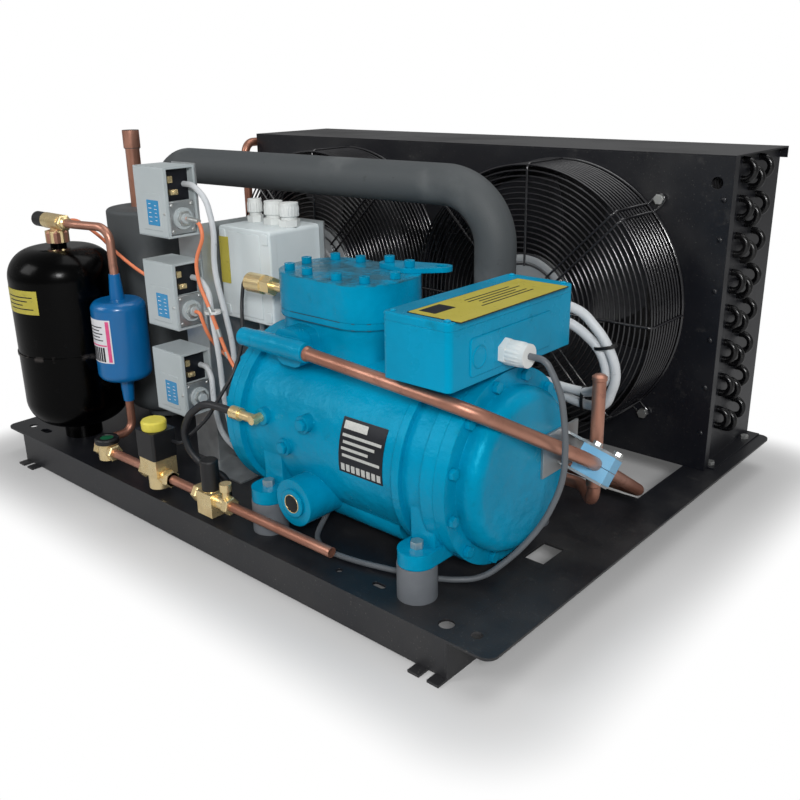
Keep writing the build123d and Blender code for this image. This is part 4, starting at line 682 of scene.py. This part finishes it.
# Oil sight glass
# Glass lens behind a screwed ring, with a thin brass rim; the oil behind it makes it look black.
# Brass as cast, with brown stains, is also the metal of all the valves.
glass_finish = Finish("dark_lens")
oil_level = glass_finish.between(glass_finish.axes()[2], 0.108, 0.110)
lens = glass_finish.close(
    Base_Color=glass_finish.mix(oil_level, colour(22, 16, 10), colour(14, 18, 20)),
    Roughness=0.06 + glass_finish.noise(90.0) * 0.05,
    Specular_IOR_Level=0.3,
)
dress(smooth_enamel, "oil_sight_glass")
brass_finish = Finish("cast_brass")
brass_tone = brass_finish.noise(70.0, 5.0)
brass_stain = brass_finish.between(brass_finish.noise(26.0, 5.0), 0.5, 0.75)
brass_colour = brass_finish.mix(brass_tone, colour(228, 200, 142), colour(246, 226, 178))
brass_colour = brass_finish.mix(brass_stain * 0.4, brass_colour, colour(160, 124, 80))
brass = brass_finish.close(
    Base_Color=brass_colour,
    Metallic=0.8,
    Roughness=0.26 + brass_stain * 0.22,
    Normal=brass_finish.bump(brass_tone, 0.0005, 0.5, 0.0008),
)
glass_centre = (185.0, -346.8, 112.0)
lens_r = 11.5
ring_profile = [(18.2, 0.0), (18.2, 1.0), (17.0, 1.6), (lens_r + 1.4, 1.6), (lens_r, 0.9)]
glass_ring = lathe(glass_centre, (0, -1, 0), ring_profile, 56)
piece("sight_glass_ring", [glass_ring], smooth_enamel)
lens_profile = [(lens_r, 0.2), (lens_r, 1.0), (lens_r * 0.6, 1.3), (0.3, 1.4)]
piece("sight_glass_lens", [lathe(glass_centre, (0, -1, 0), lens_profile, 48)], lens)
rim_turn = np.linspace(0.0, 2.0 * np.pi, 48, endpoint=False)[:, None]
rim_path = (
    np.array(glass_centre)
    + np.array([0.0, -1.4, 0.0])
    + lens_r * np.cos(rim_turn) * np.array([1.0, 0.0, 0.0])
    + lens_r * np.sin(rim_turn) * np.array([0.0, 0.0, 1.0])
)
piece("lens_rim", [tube(rim_path, 0.6, closed=True, flat_to=(0, 1, 0))], brass)

# Rating plate
# Thin dark metal plate that follows the round of the motor housing. Its fields are left as plain
# generic bars, with no words.
dark_plate = two_tone("plate_field", (120.0,), (20, 22, 28), (34, 36, 42), rough=(0.35, 0.1), Metallic=0.3)
pale_bars = two_tone("plate_bars", (400.0,), (176, 178, 176), (214, 214, 208), rough=(0.4, 0.1), Metallic=0.4)


def housing_patch(x0, x1, low, high, radius, thick, steps=10):
    """Piece of a cylinder about the motor's axis: two arcs at radius and radius + thick, joined round."""
    angle = np.linspace(np.radians(low), np.radians(high), steps)
    inner = np.stack([np.cos(angle), np.sin(angle)], axis=-1) * radius
    outer = np.stack([np.cos(angle), np.sin(angle)], axis=-1) * (radius + thick)
    section = np.concatenate([inner, outer[::-1]])
    y = shaft_y - section[:, 0]
    z = shaft_z + section[:, 1]
    rows = [np.column_stack([np.full(len(section), x), y, z]) for x in (x0, x1)]
    return grid(np.stack(rows), around=True, caps=True)


piece("rating_plate", [housing_patch(243.0, 311.0, -7.0, 28.0, 107.6, 1.2)], dark_plate)
bar_x, bar_r = 247.0, 108.7
bars = [housing_patch(bar_x, 283.0, 21.0, 26.0, bar_r, 0.4)]
for row in range(4):
    bar_start = bar_x + 2.0 * (row % 2)
    bar_end = 307.0 - 9.0 * (row % 3)
    bars.append(housing_patch(bar_start, bar_end, 16.2 - 4.2 * row, 18.0 - 4.2 * row, bar_r, 0.3))
for cell in range(8):
    cell_x = bar_x + 8.0 * cell
    bars.append(housing_patch(cell_x, cell_x + 5.6, -5.6, -1.0, bar_r, 0.3))
piece("rating_plate_bars", bars, pale_bars)

# Terminal box trim
# Yellow label inside a dark frame on the lid, four screws in the lid's corners, and a pressed pad
# with a knock-out on the end wall.
yellow_finish = Finish("yellow_label")
yellow_tone = yellow_finish.noise(45.0, 4.0)
yellow_wear = yellow_finish.between(yellow_finish.noise(160.0, 4.0), 0.62, 0.7)
yellow_colour = yellow_finish.mix(yellow_tone, colour(170, 158, 58), colour(190, 178, 76))
yellow_colour = yellow_finish.mix(yellow_wear * 0.4, yellow_colour, colour(130, 120, 62))
yellow = yellow_finish.close(Base_Color=yellow_colour, Roughness=0.38 + yellow_wear * 0.2)
lid_top = 370.0
label_frame = slab((383.0, -220.0, lid_top - 0.1), *facing_up, 71.0, 200.0, 0.6, 2.0, 0.2)
piece("lid_label_frame", [label_frame], dark_plate)
label_field = slab((383.0, -220.0, lid_top + 0.4), *facing_up, 68.0, 197.0, 0.4, 1.5, 0.15)
piece("lid_label", [label_field], yellow)
label_lines = []
for row in range(5):
    line_centre = (394.0 - 7.0 * row, -205.0 + 4.0 * (row % 2), lid_top + 0.7)
    label_lines.append(slab(line_centre, *facing_up, 2.0, 96.0 - 14.0 * (row % 3), 0.3, 0.5, 0.1))
label_lines.append(slab((366.0, -292.0, lid_top + 0.7), *facing_up, 22.0, 34.0, 0.3, 1.0, 0.1))
piece("lid_label_print", label_lines, dark_plate)
lid_screws = [
    round_head((x, y, lid_top - 0.2), (0, 0, 1), 4.2, 2.4)
    for x in (331.5, 403.0)
    for y in (-322.0, -108.0)
]
piece("lid_screws", lid_screws, smooth_enamel)
knock_out = [(12.0, 0.0), (12.0, 0.8), (10.6, 1.2), (10.0, 0.5), (0.2, 0.5)]
end_pad = [
    slab((411.8, -222.0, 327.0), *facing_right, 150.0, 42.0, 1.6, 5.0, 0.8),
    lathe((413.2, -282.0, 326.0), (1, 0, 0), knock_out, 32),
]
piece("box_end_pad", end_pad, smooth_enamel)

# Copper pipes
# Drawn copper tube, bright in places and browned by brazing heat in others. Collars stand at the
# brazed joints and at the open or closed ends.


def copper_finish(name):
    """Copper that goes from bright to heat-browned over patches, with a fine grain."""
    finish = Finish(name)
    heat = finish.between(finish.noise(7.0, 4.0), 0.35, 0.68)
    stain = finish.between(finish.noise(38.0, 6.0, 0.7), 0.52, 0.72)
    base = finish.mix(heat, colour(194, 142, 122), colour(152, 104, 86))
    base = finish.mix(stain * 0.5, base, colour(118, 80, 74))
    grain = finish.noise(900.0, 2.0)
    return finish.close(
        Base_Color=base,
        Metallic=0.75,
        Roughness=0.34 + heat * 0.12 + stain * 0.14,
        Normal=finish.bump(grain, 0.0002, 0.35),
    )


copper = copper_finish("drawn_copper")
dress(copper, "discharge_line", "riser_pipe", "liquid_pipes")
line_direction = (250.0, -3.0, -14.0)
riser_place = (455.0, -105.0)
stub_place = (-370.0, -160.0)
brazed_collar = [(7.8, 0.0), (9.6, 0.4), (9.0, 3.0), (7.9, 5.0)]
riser_sleeve = [(7.8, 0.0), (9.2, 1.5), (9.2, 12.0), (7.8, 13.5)]
riser_cap = [(7.9, 0.0), (9.0, 1.0), (9.0, 5.0), (6.0, 7.5), (0.3, 8.0)]
stub_flare = [(10.9, 0.0), (12.9, 2.6), (13.1, 4.0), (12.9, 5.0)]
collars = [
    lathe((182.0, -308.4, 291.2), line_direction, brazed_collar, 28),
    lathe((*riser_place, 128.0), (0, 0, 1), riser_sleeve, 28),
    lathe((*riser_place, 262.0), (0, 0, 1), riser_cap, 28),
    lathe((*stub_place, 492.0), (0, 0, 1), stub_flare, 28),
]
piece("pipe_collars", collars, copper)

# Pipe clamp
# Two light blue plastic halves close round the discharge line, between the plates of a galvanised
# bracket that bolts to the motor end cover.
clamp_plastic = two_tone(
    "clamp_plastic",
    (24.0, 3.0),
    (104, 164, 204),
    (128, 182, 214),
    rough=(0.46, 0.1),
    grain=((1200.0, 2.0), 0.0002, 0.4, 0.0012),
)
dress(clamp_plastic, "clamp_block")
sheet_finish = Finish("galvanised_sheet")
spangle = sheet_finish.cells(110.0, "Color")
sheet_streak = sheet_finish.noise(20.0, 5.0, 0.6, (1.0, 1.0, 0.2))
sheet_colour = sheet_finish.mix(sheet_streak, colour(150, 154, 156), colour(188, 190, 190))
sheet_spangle = sheet_finish.node("ShaderNodeRGBToBW", inputs={0: spangle})
sheet_colour = sheet_finish.mix(sheet_spangle * 0.22, sheet_colour, colour(210, 212, 214))
galvanised = sheet_finish.close(
    Base_Color=sheet_colour,
    Metallic=0.85,
    Roughness=0.34 + sheet_spangle * 0.16,
    Normal=sheet_finish.bump(sheet_finish.noise(500.0, 3.0), 0.0002, 0.3, 0.0006),
)
dress(galvanised, "clamp_bracket", "control_bracket")

# Insulated suction side
# Closed-cell foam sleeve over the suction line and the accumulator, dull dark grey, a little uneven
# to the touch, with rubbed paler places.


def foam(name):
    """Foam with fine pores, slow waves and pale rub marks."""
    finish = Finish(name)
    rub = finish.between(finish.noise(10.0, 5.0), 0.5, 0.78)
    marks = finish.between(finish.noise(75.0, 5.0, 0.7), 0.64, 0.72)
    base = finish.mix(rub, colour(70, 74, 76), colour(98, 101, 102))
    base = finish.mix(marks * 0.5, base, colour(44, 46, 48))
    height = finish.noise(650.0, 3.0) * 0.35 + finish.noise(24.0, 2.0)
    return finish.close(
        Base_Color=base, Roughness=0.62 + rub * 0.14, Normal=finish.bump(height, 0.0018, 0.5, 0.001)
    )


foam_sleeve = foam("foam_sleeve")
dress(foam_sleeve, "suction_line", "suction_accumulator")
stub_outside = [(11.2, 0.0), (11.2, 90.2), (13.2, 93.4), (13.2, 119.9)]
stub_inside = [(11.4, 120.2), (11.0, 119.4), (11.0, 95.2), (0.4, 95.2)]
stub_skin = lathe((*stub_place, 401.8), (0, 0, 1), stub_outside + stub_inside, 40)
piece("suction_stub_skin", [stub_skin], copper)

# Receiver
# Upright steel vessel of two pressed halves, painted gloss black in slow waves, with dust on it and
# the paint worn along the weld round its middle.
receiver_finish = Finish("gloss_black_vessel")
seam_z = 0.198
vessel_dust = receiver_finish.between(receiver_finish.noise(30.0, 6.0, 0.7), 0.58, 0.72)
seam = receiver_finish.between((receiver_finish.axes()[2] - seam_z).size(), 0.001, 0.006, 1.0, 0.0)
seam_wear = seam * receiver_finish.between(receiver_finish.noise(60.0, 4.0), 0.5, 0.62)
vessel_colour = receiver_finish.mix(vessel_dust * 0.14, colour(4, 4, 5), colour(56, 54, 52))
vessel_colour = receiver_finish.mix(seam_wear * 0.5, vessel_colour, colour(84, 80, 78))
gloss_black = receiver_finish.close(
    Base_Color=vessel_colour,
    Roughness=0.2 + vessel_dust * 0.3,
    Specular_IOR_Level=0.11,
    Normal=receiver_finish.bump(receiver_finish.noise(40.0, 2.0), 0.0006, 0.4),
)
dress(gloss_black, "liquid_receiver")


def wrapped_patch(centre, radius, z0, z1, low, high, thick, steps=12):
    """Label round an upright cylinder: arcs at radius and radius + thick from one angle to another."""
    angle = np.linspace(np.radians(low), np.radians(high), steps)
    spoke = np.stack([np.cos(angle), np.sin(angle)], axis=-1)
    section = np.concatenate([spoke * radius, spoke[::-1] * (radius + thick)])
    outline = np.array(centre) + section
    rows = [np.column_stack([outline, np.full(len(outline), z)]) for z in (z0, z1)]
    return grid(np.stack(rows), around=True, caps=True)


receiver_centre = (-372.0, -306.0)
receiver_label = wrapped_patch(receiver_centre, 79.9, 268.0, 304.0, -112.0, -58.0, 0.5)
piece("receiver_label", [receiver_label], yellow)
receiver_lines = []
for row in range(4):
    line_foot = 293.0 - 6.0 * row
    line_low = -106.0 + 5.0 * (row % 2)
    line_high = -64.0 - 7.0 * (row % 3)
    receiver_lines.append(
        wrapped_patch(receiver_centre, 80.3, line_foot, line_foot + 1.6, line_low, line_high, 0.3)
    )
piece("receiver_label_lines", receiver_lines, dark_plate)

# Receiver valve
# Turned brass valve on the receiver, held by a copper-coloured union nut, with a black cap on its
# spindle and a brass union to the feed pipe at its side.
dress(brass, "receiver_valve")
feed_y, feed_z = receiver_centre[1], 395.0
black_plastic = two_tone(
    "black_plastic",
    (40.0, 4.0),
    (12, 12, 14),
    (30, 30, 32),
    rough=(0.42, 0.14),
    grain=((900.0, 2.0), 0.0002, 0.5, 0.0008),
)
dress(black_plastic, "receiver_cap", "shutoff_cap", "solenoid_coil")
nut_skin = [hexagon_head((*receiver_centre, 363.8), (0, 0, 1), 31.0, 18.4)]
piece("union_nut", nut_skin, copper)
nut_collar = [(9.6, 0.0), (9.6, 3.0), (7.0, 5.0), (6.6, 5.0)]
feed_union = [
    hexagon_head((-352.4, feed_y, feed_z), (1, 0, 0), 22.0, 9.0),
    lathe((-343.6, feed_y, feed_z), (1, 0, 0), nut_collar, 28),
]
piece("feed_union", feed_union, brass)

# Filter drier
# Spun steel shell in blue enamel, upright between the receiver and the liquid line. A white paper
# label with a magenta edge and plain dark stripes is wrapped on it.
drier_blue = two_tone(
    "blue_enamel",
    (8.0, 4.0),
    (0, 92, 148),
    (0, 108, 170),
    rough=(0.26, 0.1),
    grain=((240.0, 3.0), 0.0003, 0.4, 0.0008),
    Coat_Weight=0.2,
)
dress(drier_blue, "filter_drier")
white_paper = two_tone("white_paper", (200.0, 4.0), (206, 206, 210), (224, 224, 226), rough=(0.5, 0.1))
magenta = two_tone("magenta_ink", (200.0, 4.0), (206, 64, 118), (222, 92, 138), rough=(0.45, 0.1))
drier_centre = (-250.0, -290.0)
label_low, label_high = -118.0, -52.0
label_r, print_r = 39.9, 40.25
drier_label = wrapped_patch(drier_centre, label_r, 200.0, 266.0, label_low, label_high, 0.4)
piece("drier_label", [drier_label], white_paper)
edges = [
    wrapped_patch(drier_centre, print_r, 202.0, 264.0, label_high - 11.0, label_high - 3.0, 0.2),
    wrapped_patch(drier_centre, print_r, 226.0, 228.0, label_low + 3.0, label_high - 12.0, 0.2),
]
piece("drier_label_edge", edges, magenta)
stripes = []
for bar in range(7):
    bar_low = label_low + 3.0 + 6.6 * bar
    stripes.append(wrapped_patch(drier_centre, print_r, 202.0, 224.0, bar_low, bar_low + 4.6, 0.2, 3))
for row in range(5):
    line_foot = 234.0 + 5.0 * row
    line_end = label_high - 20.0 - 8.0 * (row % 2)
    stripes.append(
        wrapped_patch(drier_centre, print_r, line_foot, line_foot + 1.6, label_low + 6.0, line_end, 0.2)
    )
piece("drier_label_print", stripes, dark_plate)

# Liquid line fittings
# Brass sight glass, solenoid valve and shut-off valve along the front edge, with hexagons at their
# ends, dark rings and caps, and a yellow cap on the coil.
dress(brass, "liquid_sight_glass", "solenoid_valve", "shutoff_valve", "suction_valve", "brass_fittings")
line_y, line_z = -358.0, 78.0
nut_places = ((-231.0, 0.2), (-198.0, 0.0), (-113.0, 0.1), (-57.0, 0.3), (9.0, 0.0), (72.0, 0.2))
fitting_nuts = [hexagon_head((x, line_y, line_z), (1, 0, 0), 22.0, 9.0, turn) for x, turn in nut_places]
piece("line_union_nuts", fitting_nuts, brass)
green_ring = two_tone("green_ring", (90.0,), (20, 70, 48), (34, 104, 70), rough=(0.35, 0.1))
ring_centre = (-210.0, line_y, 96.5)
ring_profile = [(17.4, -5.5), (17.6, 0.4), (16.0, 2.6), (10.5, 2.6), (9.6, 0.9)]
window_ring = lathe(ring_centre, (0, 0, 1), ring_profile, 40)
window_lens = lathe(ring_centre, (0, 0, 1), [(10.0, 0.5), (10.0, 1.3), (6.0, 1.9), (0.3, 2.1)], 32)
piece("window_ring", [window_ring], black_plastic)
piece("window_indicator", [window_lens], green_ring)
yellow_cap = two_tone(
    "yellow_cap",
    (60.0, 3.0),
    (206, 190, 58),
    (224, 212, 96),
    rough=(0.4, 0.1),
    grain=((800.0,), 0.0002, 0.4),
)
cap_profile = [(16.6, 0.0), (17.2, 2.0), (17.2, 11.0), (15.4, 13.2), (0.3, 13.4)]
coil_cap = lathe((-80.0, line_y, 145.8), (0, 0, 1), cap_profile, 44)
piece("coil_cap", [coil_cap], yellow_cap)

# Pressure controls
# Three grey-white housings: a snap-on cover with a blue scale window in front, and on the open right
# side a zinc plate with four screws, the bellows' hexagon, and brass terminals above it, in front of a
# dark plate that is painted shade in the housing's open inside.


def pale_plastic(name, low, high):
    """Grey housing between two shades, with a fine grain."""
    grain = ((1400.0, 2.0), 0.0002, 0.3, 0.0012)
    return two_tone(name, (18.0, 4.0), low, high, rough=(0.4, 0.08), grain=grain)


pale_housing = pale_plastic("control_housing", (166, 176, 178), (184, 191, 193))
# Painted light: the junction box and its screw covers take a lighter copy of the housing grey, to make up for
# the shade they stand in.
junction_plastic_lit = pale_plastic("junction_plastic_lit", (200, 210, 212), (214, 222, 224))
dress(pale_housing, "pressure_controls")
dress(junction_plastic_lit, "junction_box", "junction_lid")
blue_scale = two_tone("blue_scale", (160.0, 3.0), (34, 122, 176), (70, 150, 196), rough=(0.2, 0.1))
covers = []
windows = []
ticks = []
plates = []
fasteners = []
painted_shade_sheets = []
terminals = []
control_y = -265.5
tick_y = -292.3
for z in (183.0, 312.0, 441.0):
    plate_z = z - 21.0
    covers.append(slab((-134.5, -289.8, z), *facing_front, 69.0, 92.0, 1.4, 3.0, 0.8))
    covers.append(slab((-133.0, -291.0, z - 13.0), *facing_front, 44.0, 50.0, 1.0, 1.5, 0.5))
    windows.append(slab((-128.5, -291.8, z - 14.0), *facing_front, 27.0, 34.0, 0.7, 1.0, 0.2))
    for row in range(5):
        wider = 2.0 * (row % 2)
        left_tick = (-135.0, tick_y, z - 26.0 + 6.0 * row)
        right_tick = (-122.0, tick_y, z - 24.0 + 5.0 * row)
        ticks.append(slab(left_tick, *facing_front, 5.0 + wider, 0.9, 0.4, 0.3, 0.1))
        ticks.append(slab(right_tick, *facing_front, 4.0 + wider, 0.9, 0.4, 0.3, 0.1))
    fasteners.append(round_head((-104.0, -290.9, z - 14.0), (0, -1, 0), 2.2, 1.4))
    plates.append(slab((-104.0, control_y, plate_z), *facing_right, 41.0, 44.0, 3.6, 2.0, 0.6))
    for side in (-1, 1):
        for level in (-1, 1):
            corner = (-100.5, control_y + 16.0 * side, plate_z + 17.5 * level)
            fasteners.append(round_head(corner, (1, 0, 0), 2.8, 1.8))
    fasteners.append(hexagon_head((-97.2, control_y, z - 22.0), (1, 0, 0), 19.0, 4.0))
    # Painted shade: a dark plate fills the open inside of each housing above its zinc plate.
    painted_shade_sheets.append(slab((-110.8, control_y, z + 22.0), *facing_right, 41.0, 42.0, 0.8, 1.0, 0.3))
    terminals.append(slab((-109.8, -272.0, z + 13.0), *facing_right, 12.0, 7.0, 6.0, 1.0, 0.5))
    terminals.append(round_head((-104.0, -272.0, z + 13.0), (1, 0, 0), 3.0, 2.0))
    terminals.append(slab((-109.8, -276.0, z + 30.0), *facing_right, 8.0, 9.0, 4.0, 1.0, 0.5))
piece("control_covers", covers, pale_housing)
piece("control_scales", windows, blue_scale)
piece("control_ticks", ticks, white_paper)
piece("control_plates", plates, galvanised)
piece("control_fasteners", fasteners, zinc)
piece("control_painted_shade", painted_shade_sheets, dark_plate)
piece("control_terminals", terminals, brass)

# Junction box and glands
# Light grey moulded box with a stepped lid, screw covers in its corners and a plain yellow label;
# nylon glands with ribbed nuts stand on its top and on the terminal box.
lid_front_y = -212.0
screw_covers = [
    slab((x, lid_front_y + 0.2, z), *facing_front, 13.0, 15.0, 1.6, 3.0, 0.8)
    for x in (-85.0, 4.0)
    for z in (285.0, 392.0)
]
screw_covers.append(slab((-40.5, lid_front_y + 0.1, 338.5), *facing_front, 66.0, 118.0, 0.9, 3.0, 0.7))
piece("screw_covers", screw_covers, junction_plastic_lit)
junction_label = slab((-83.5, lid_front_y - 0.1, 356.0), *facing_front, 19.0, 66.0, 1.4, 1.0, 0.15)
piece("junction_label", [junction_label], yellow)
nylon = two_tone(
    "white_nylon",
    (40.0, 3.0),
    (208, 212, 210),
    (226, 228, 226),
    rough=(0.34, 0.08),
    grain=((1200.0,), 0.0001, 0.3, 0.001),
)
dress(nylon, "cable_glands")


def ribbed_nut(centre, axis, radius, length, ribs=18):
    """Gland nut: radius + 0.45 * cos(ribs * t) along its length, drawn in to a dome at its end."""
    side, other = square_to(axis)
    angle = np.linspace(0.0, 2.0 * np.pi, ribs * 6, endpoint=False)
    height = np.array([0.0, 0.6, length * 0.62, length * 0.82, length * 0.95, length])
    shrink = np.array([0.98, 1.0, 1.0, 0.94, 0.82, 0.66])
    wave = np.array([0.0, 1.0, 1.0, 0.6, 0.1, 0.0])
    reach = radius * shrink[:, None] + 0.45 * wave[:, None] * np.cos(ribs * angle)[None]
    spoke = np.cos(angle)[:, None] * side + np.sin(angle)[:, None] * other
    points = np.array(centre, float) + height[:, None, None] * unit(axis) + reach[..., None] * spoke[None]
    return grid(points, around=True, caps=True)


top_glands = ((-74.0, 10.3), (-34.0, 13.3), (-2.0, 13.3))
gland_nuts = [ribbed_nut((x, -160.5, 417.8), (0, 0, 1), radius, 18.6) for x, radius in top_glands]
gland_nuts.append(ribbed_nut((420.8, -237.0, 321.5), (1, 0, 0), 13.3, 23.0))
piece("gland_nuts", gland_nuts, nylon)

# Cables
# Grey sheathed cables from the controls and the motor, black ties round the motor pair, and orange
# sleeves on the capillary tubes with crimped ends.


def sheath(name, dark_shade, place_of_dark):
    """Pale grey sheath with a few scuffs, and a darker one where place_of_dark is 1."""
    finish = Finish(name)
    tone = finish.noise(40.0, 4.0)
    scuff = finish.between(finish.noise(130.0, 4.0), 0.62, 0.7)
    pale = finish.mix(tone, colour(184, 189, 193), colour(206, 209, 211))
    pale = finish.mix(scuff * 0.35, pale, colour(138, 142, 144))
    dark = finish.mix(tone, colour(*dark_shade), colour(*[shade + 14 for shade in dark_shade]))
    return finish.close(
        Base_Color=finish.mix(place_of_dark(*finish.axes()), pale, dark),
        Roughness=0.42 + tone * 0.12,
        Normal=finish.bump(finish.noise(700.0), 0.0002, 0.3),
    )


def hose_and_lead(x, y, z):
    """1 on the oil hose and the sensor lead, which are in front of or beside the control cables."""
    return ((y < -0.275) + (x > -0.019) * (y < -0.2)) > 0.5


def heater_cable(x, y, z):
    """1 on the cable that comes out of the terminal box's gland, in front of the motor cables."""
    return y < -0.195


dress(sheath("control_sheath", (24, 25, 28), hose_and_lead), "control_cables")
dress(sheath("power_sheath", (84, 88, 92), heater_cable), "power_cables")


def tie_loop(place, along, width, height):
    """Flat strap round a bundle: an ellipse across its direction, held by a small head."""
    side, other = square_to(along)
    turn = np.linspace(0.0, 2.0 * np.pi, 36, endpoint=False)
    across = width * np.cos(turn)[:, None] * side
    loop = np.array(place) + across + height * np.sin(turn)[:, None] * other
    run = unit(along)
    straps = [
        tube(loop + shift * run, 0.9, sides=6, closed=True, flat_to=tuple(run)) for shift in (-1.3, 0.0, 1.3)
    ]
    head = np.array(place) + height * other
    return straps + [slab(head - 1.5 * other, side, run, 5.0, 4.6, 4.0, 1.0, 0.5)]


dark_ties = tie_loop((436.0, -61.0, 289.0), (0.27, 0.1, -1.0), 8.2, 15.0)
dark_ties += tie_loop((400.0, -41.5, 210.0), (1.0, 0.1, 0.0), 8.2, 15.5)
piece("motor_cable_ties", dark_ties, black_plastic)
pale_tie = tie_loop((-62.0, -257.0, 292.0), (0.1, 0.05, -1.0), 9.0, 13.5)
piece("control_cable_tie", pale_tie, nylon)
crimp_ends = [
    ((-88.0, -265.5, 419.0), (-64.0, -265.6, 418.0)),
    ((-60.5, -264.5, 301.0), (-56.5, -263.0, 290.0)),
    ((-51.8, -259.5, 270.0), (-49.0, -257.8, 259.0)),
    ((-43.5, -254.6, 238.0), (-40.0, -253.2, 229.0)),
]
crimps = [tube(np.linspace(first, last, 5), 3.3, sides=14) for first, last in crimp_ends]
piece("capillary_crimps", crimps, zinc)
orange_sleeve = two_tone(
    "orange_sleeve",
    (50.0, 4.0),
    (222, 116, 76),
    (238, 142, 100),
    rough=(0.4, 0.12),
    grain=((900.0,), 0.0002, 0.3),
)
dress(orange_sleeve, "capillary_tubes")

# Rubber mounts
# Plain round bushes of grey moulded rubber, which stand on the plate and carry the compressor's
# four feet.
rubber = two_tone(
    "grey_rubber",
    (26.0, 5.0),
    (86, 90, 96),
    (112, 116, 120),
    rough=(0.58, 0.14),
    grain=((500.0, 3.0), 0.0004, 0.4, 0.0012),
)
dress(rubber, "rubber_mounts")

# Running gear inside
# Machined steel shaft, rods and pistons, and the motor's core with its windings of enamelled
# copper wire. The castings hide all of it.
machined = two_tone(
    "machined_steel",
    (120.0, 4.0, 0.6, (8.0, 1.0, 1.0)),
    (150, 150, 150),
    (178, 178, 176),
    rough=(0.28, 0.14),
    grain=(None, 0.0001, 0.3),
    Metallic=1.0,
)
dress(machined, "crankshaft", "connecting_rod_1", "connecting_rod_2", "pistons", "motor_rotor")
winding_finish = Finish("enamelled_windings")
wire_pitch = 0.001496
winding_wave = (winding_finish.axes()[0] * (2.0 * np.pi / wire_pitch)).sine()
# Painted shade: the grooves between the turns of wire are painted darker and the tops of the turns lighter.
wire_tops_lit_grooves_shaded = winding_finish.between(winding_wave, -0.5, 0.6)
winding = winding_finish.close(
    Base_Color=winding_finish.mix(wire_tops_lit_grooves_shaded, colour(120, 60, 34), colour(176, 98, 60)),
    Metallic=0.7,
    Roughness=0.35 + winding_finish.noise(80.0) * 0.1,
    Normal=winding_finish.bump(winding_wave, 0.0003, 0.5),
)
dress(winding, "motor_stator")
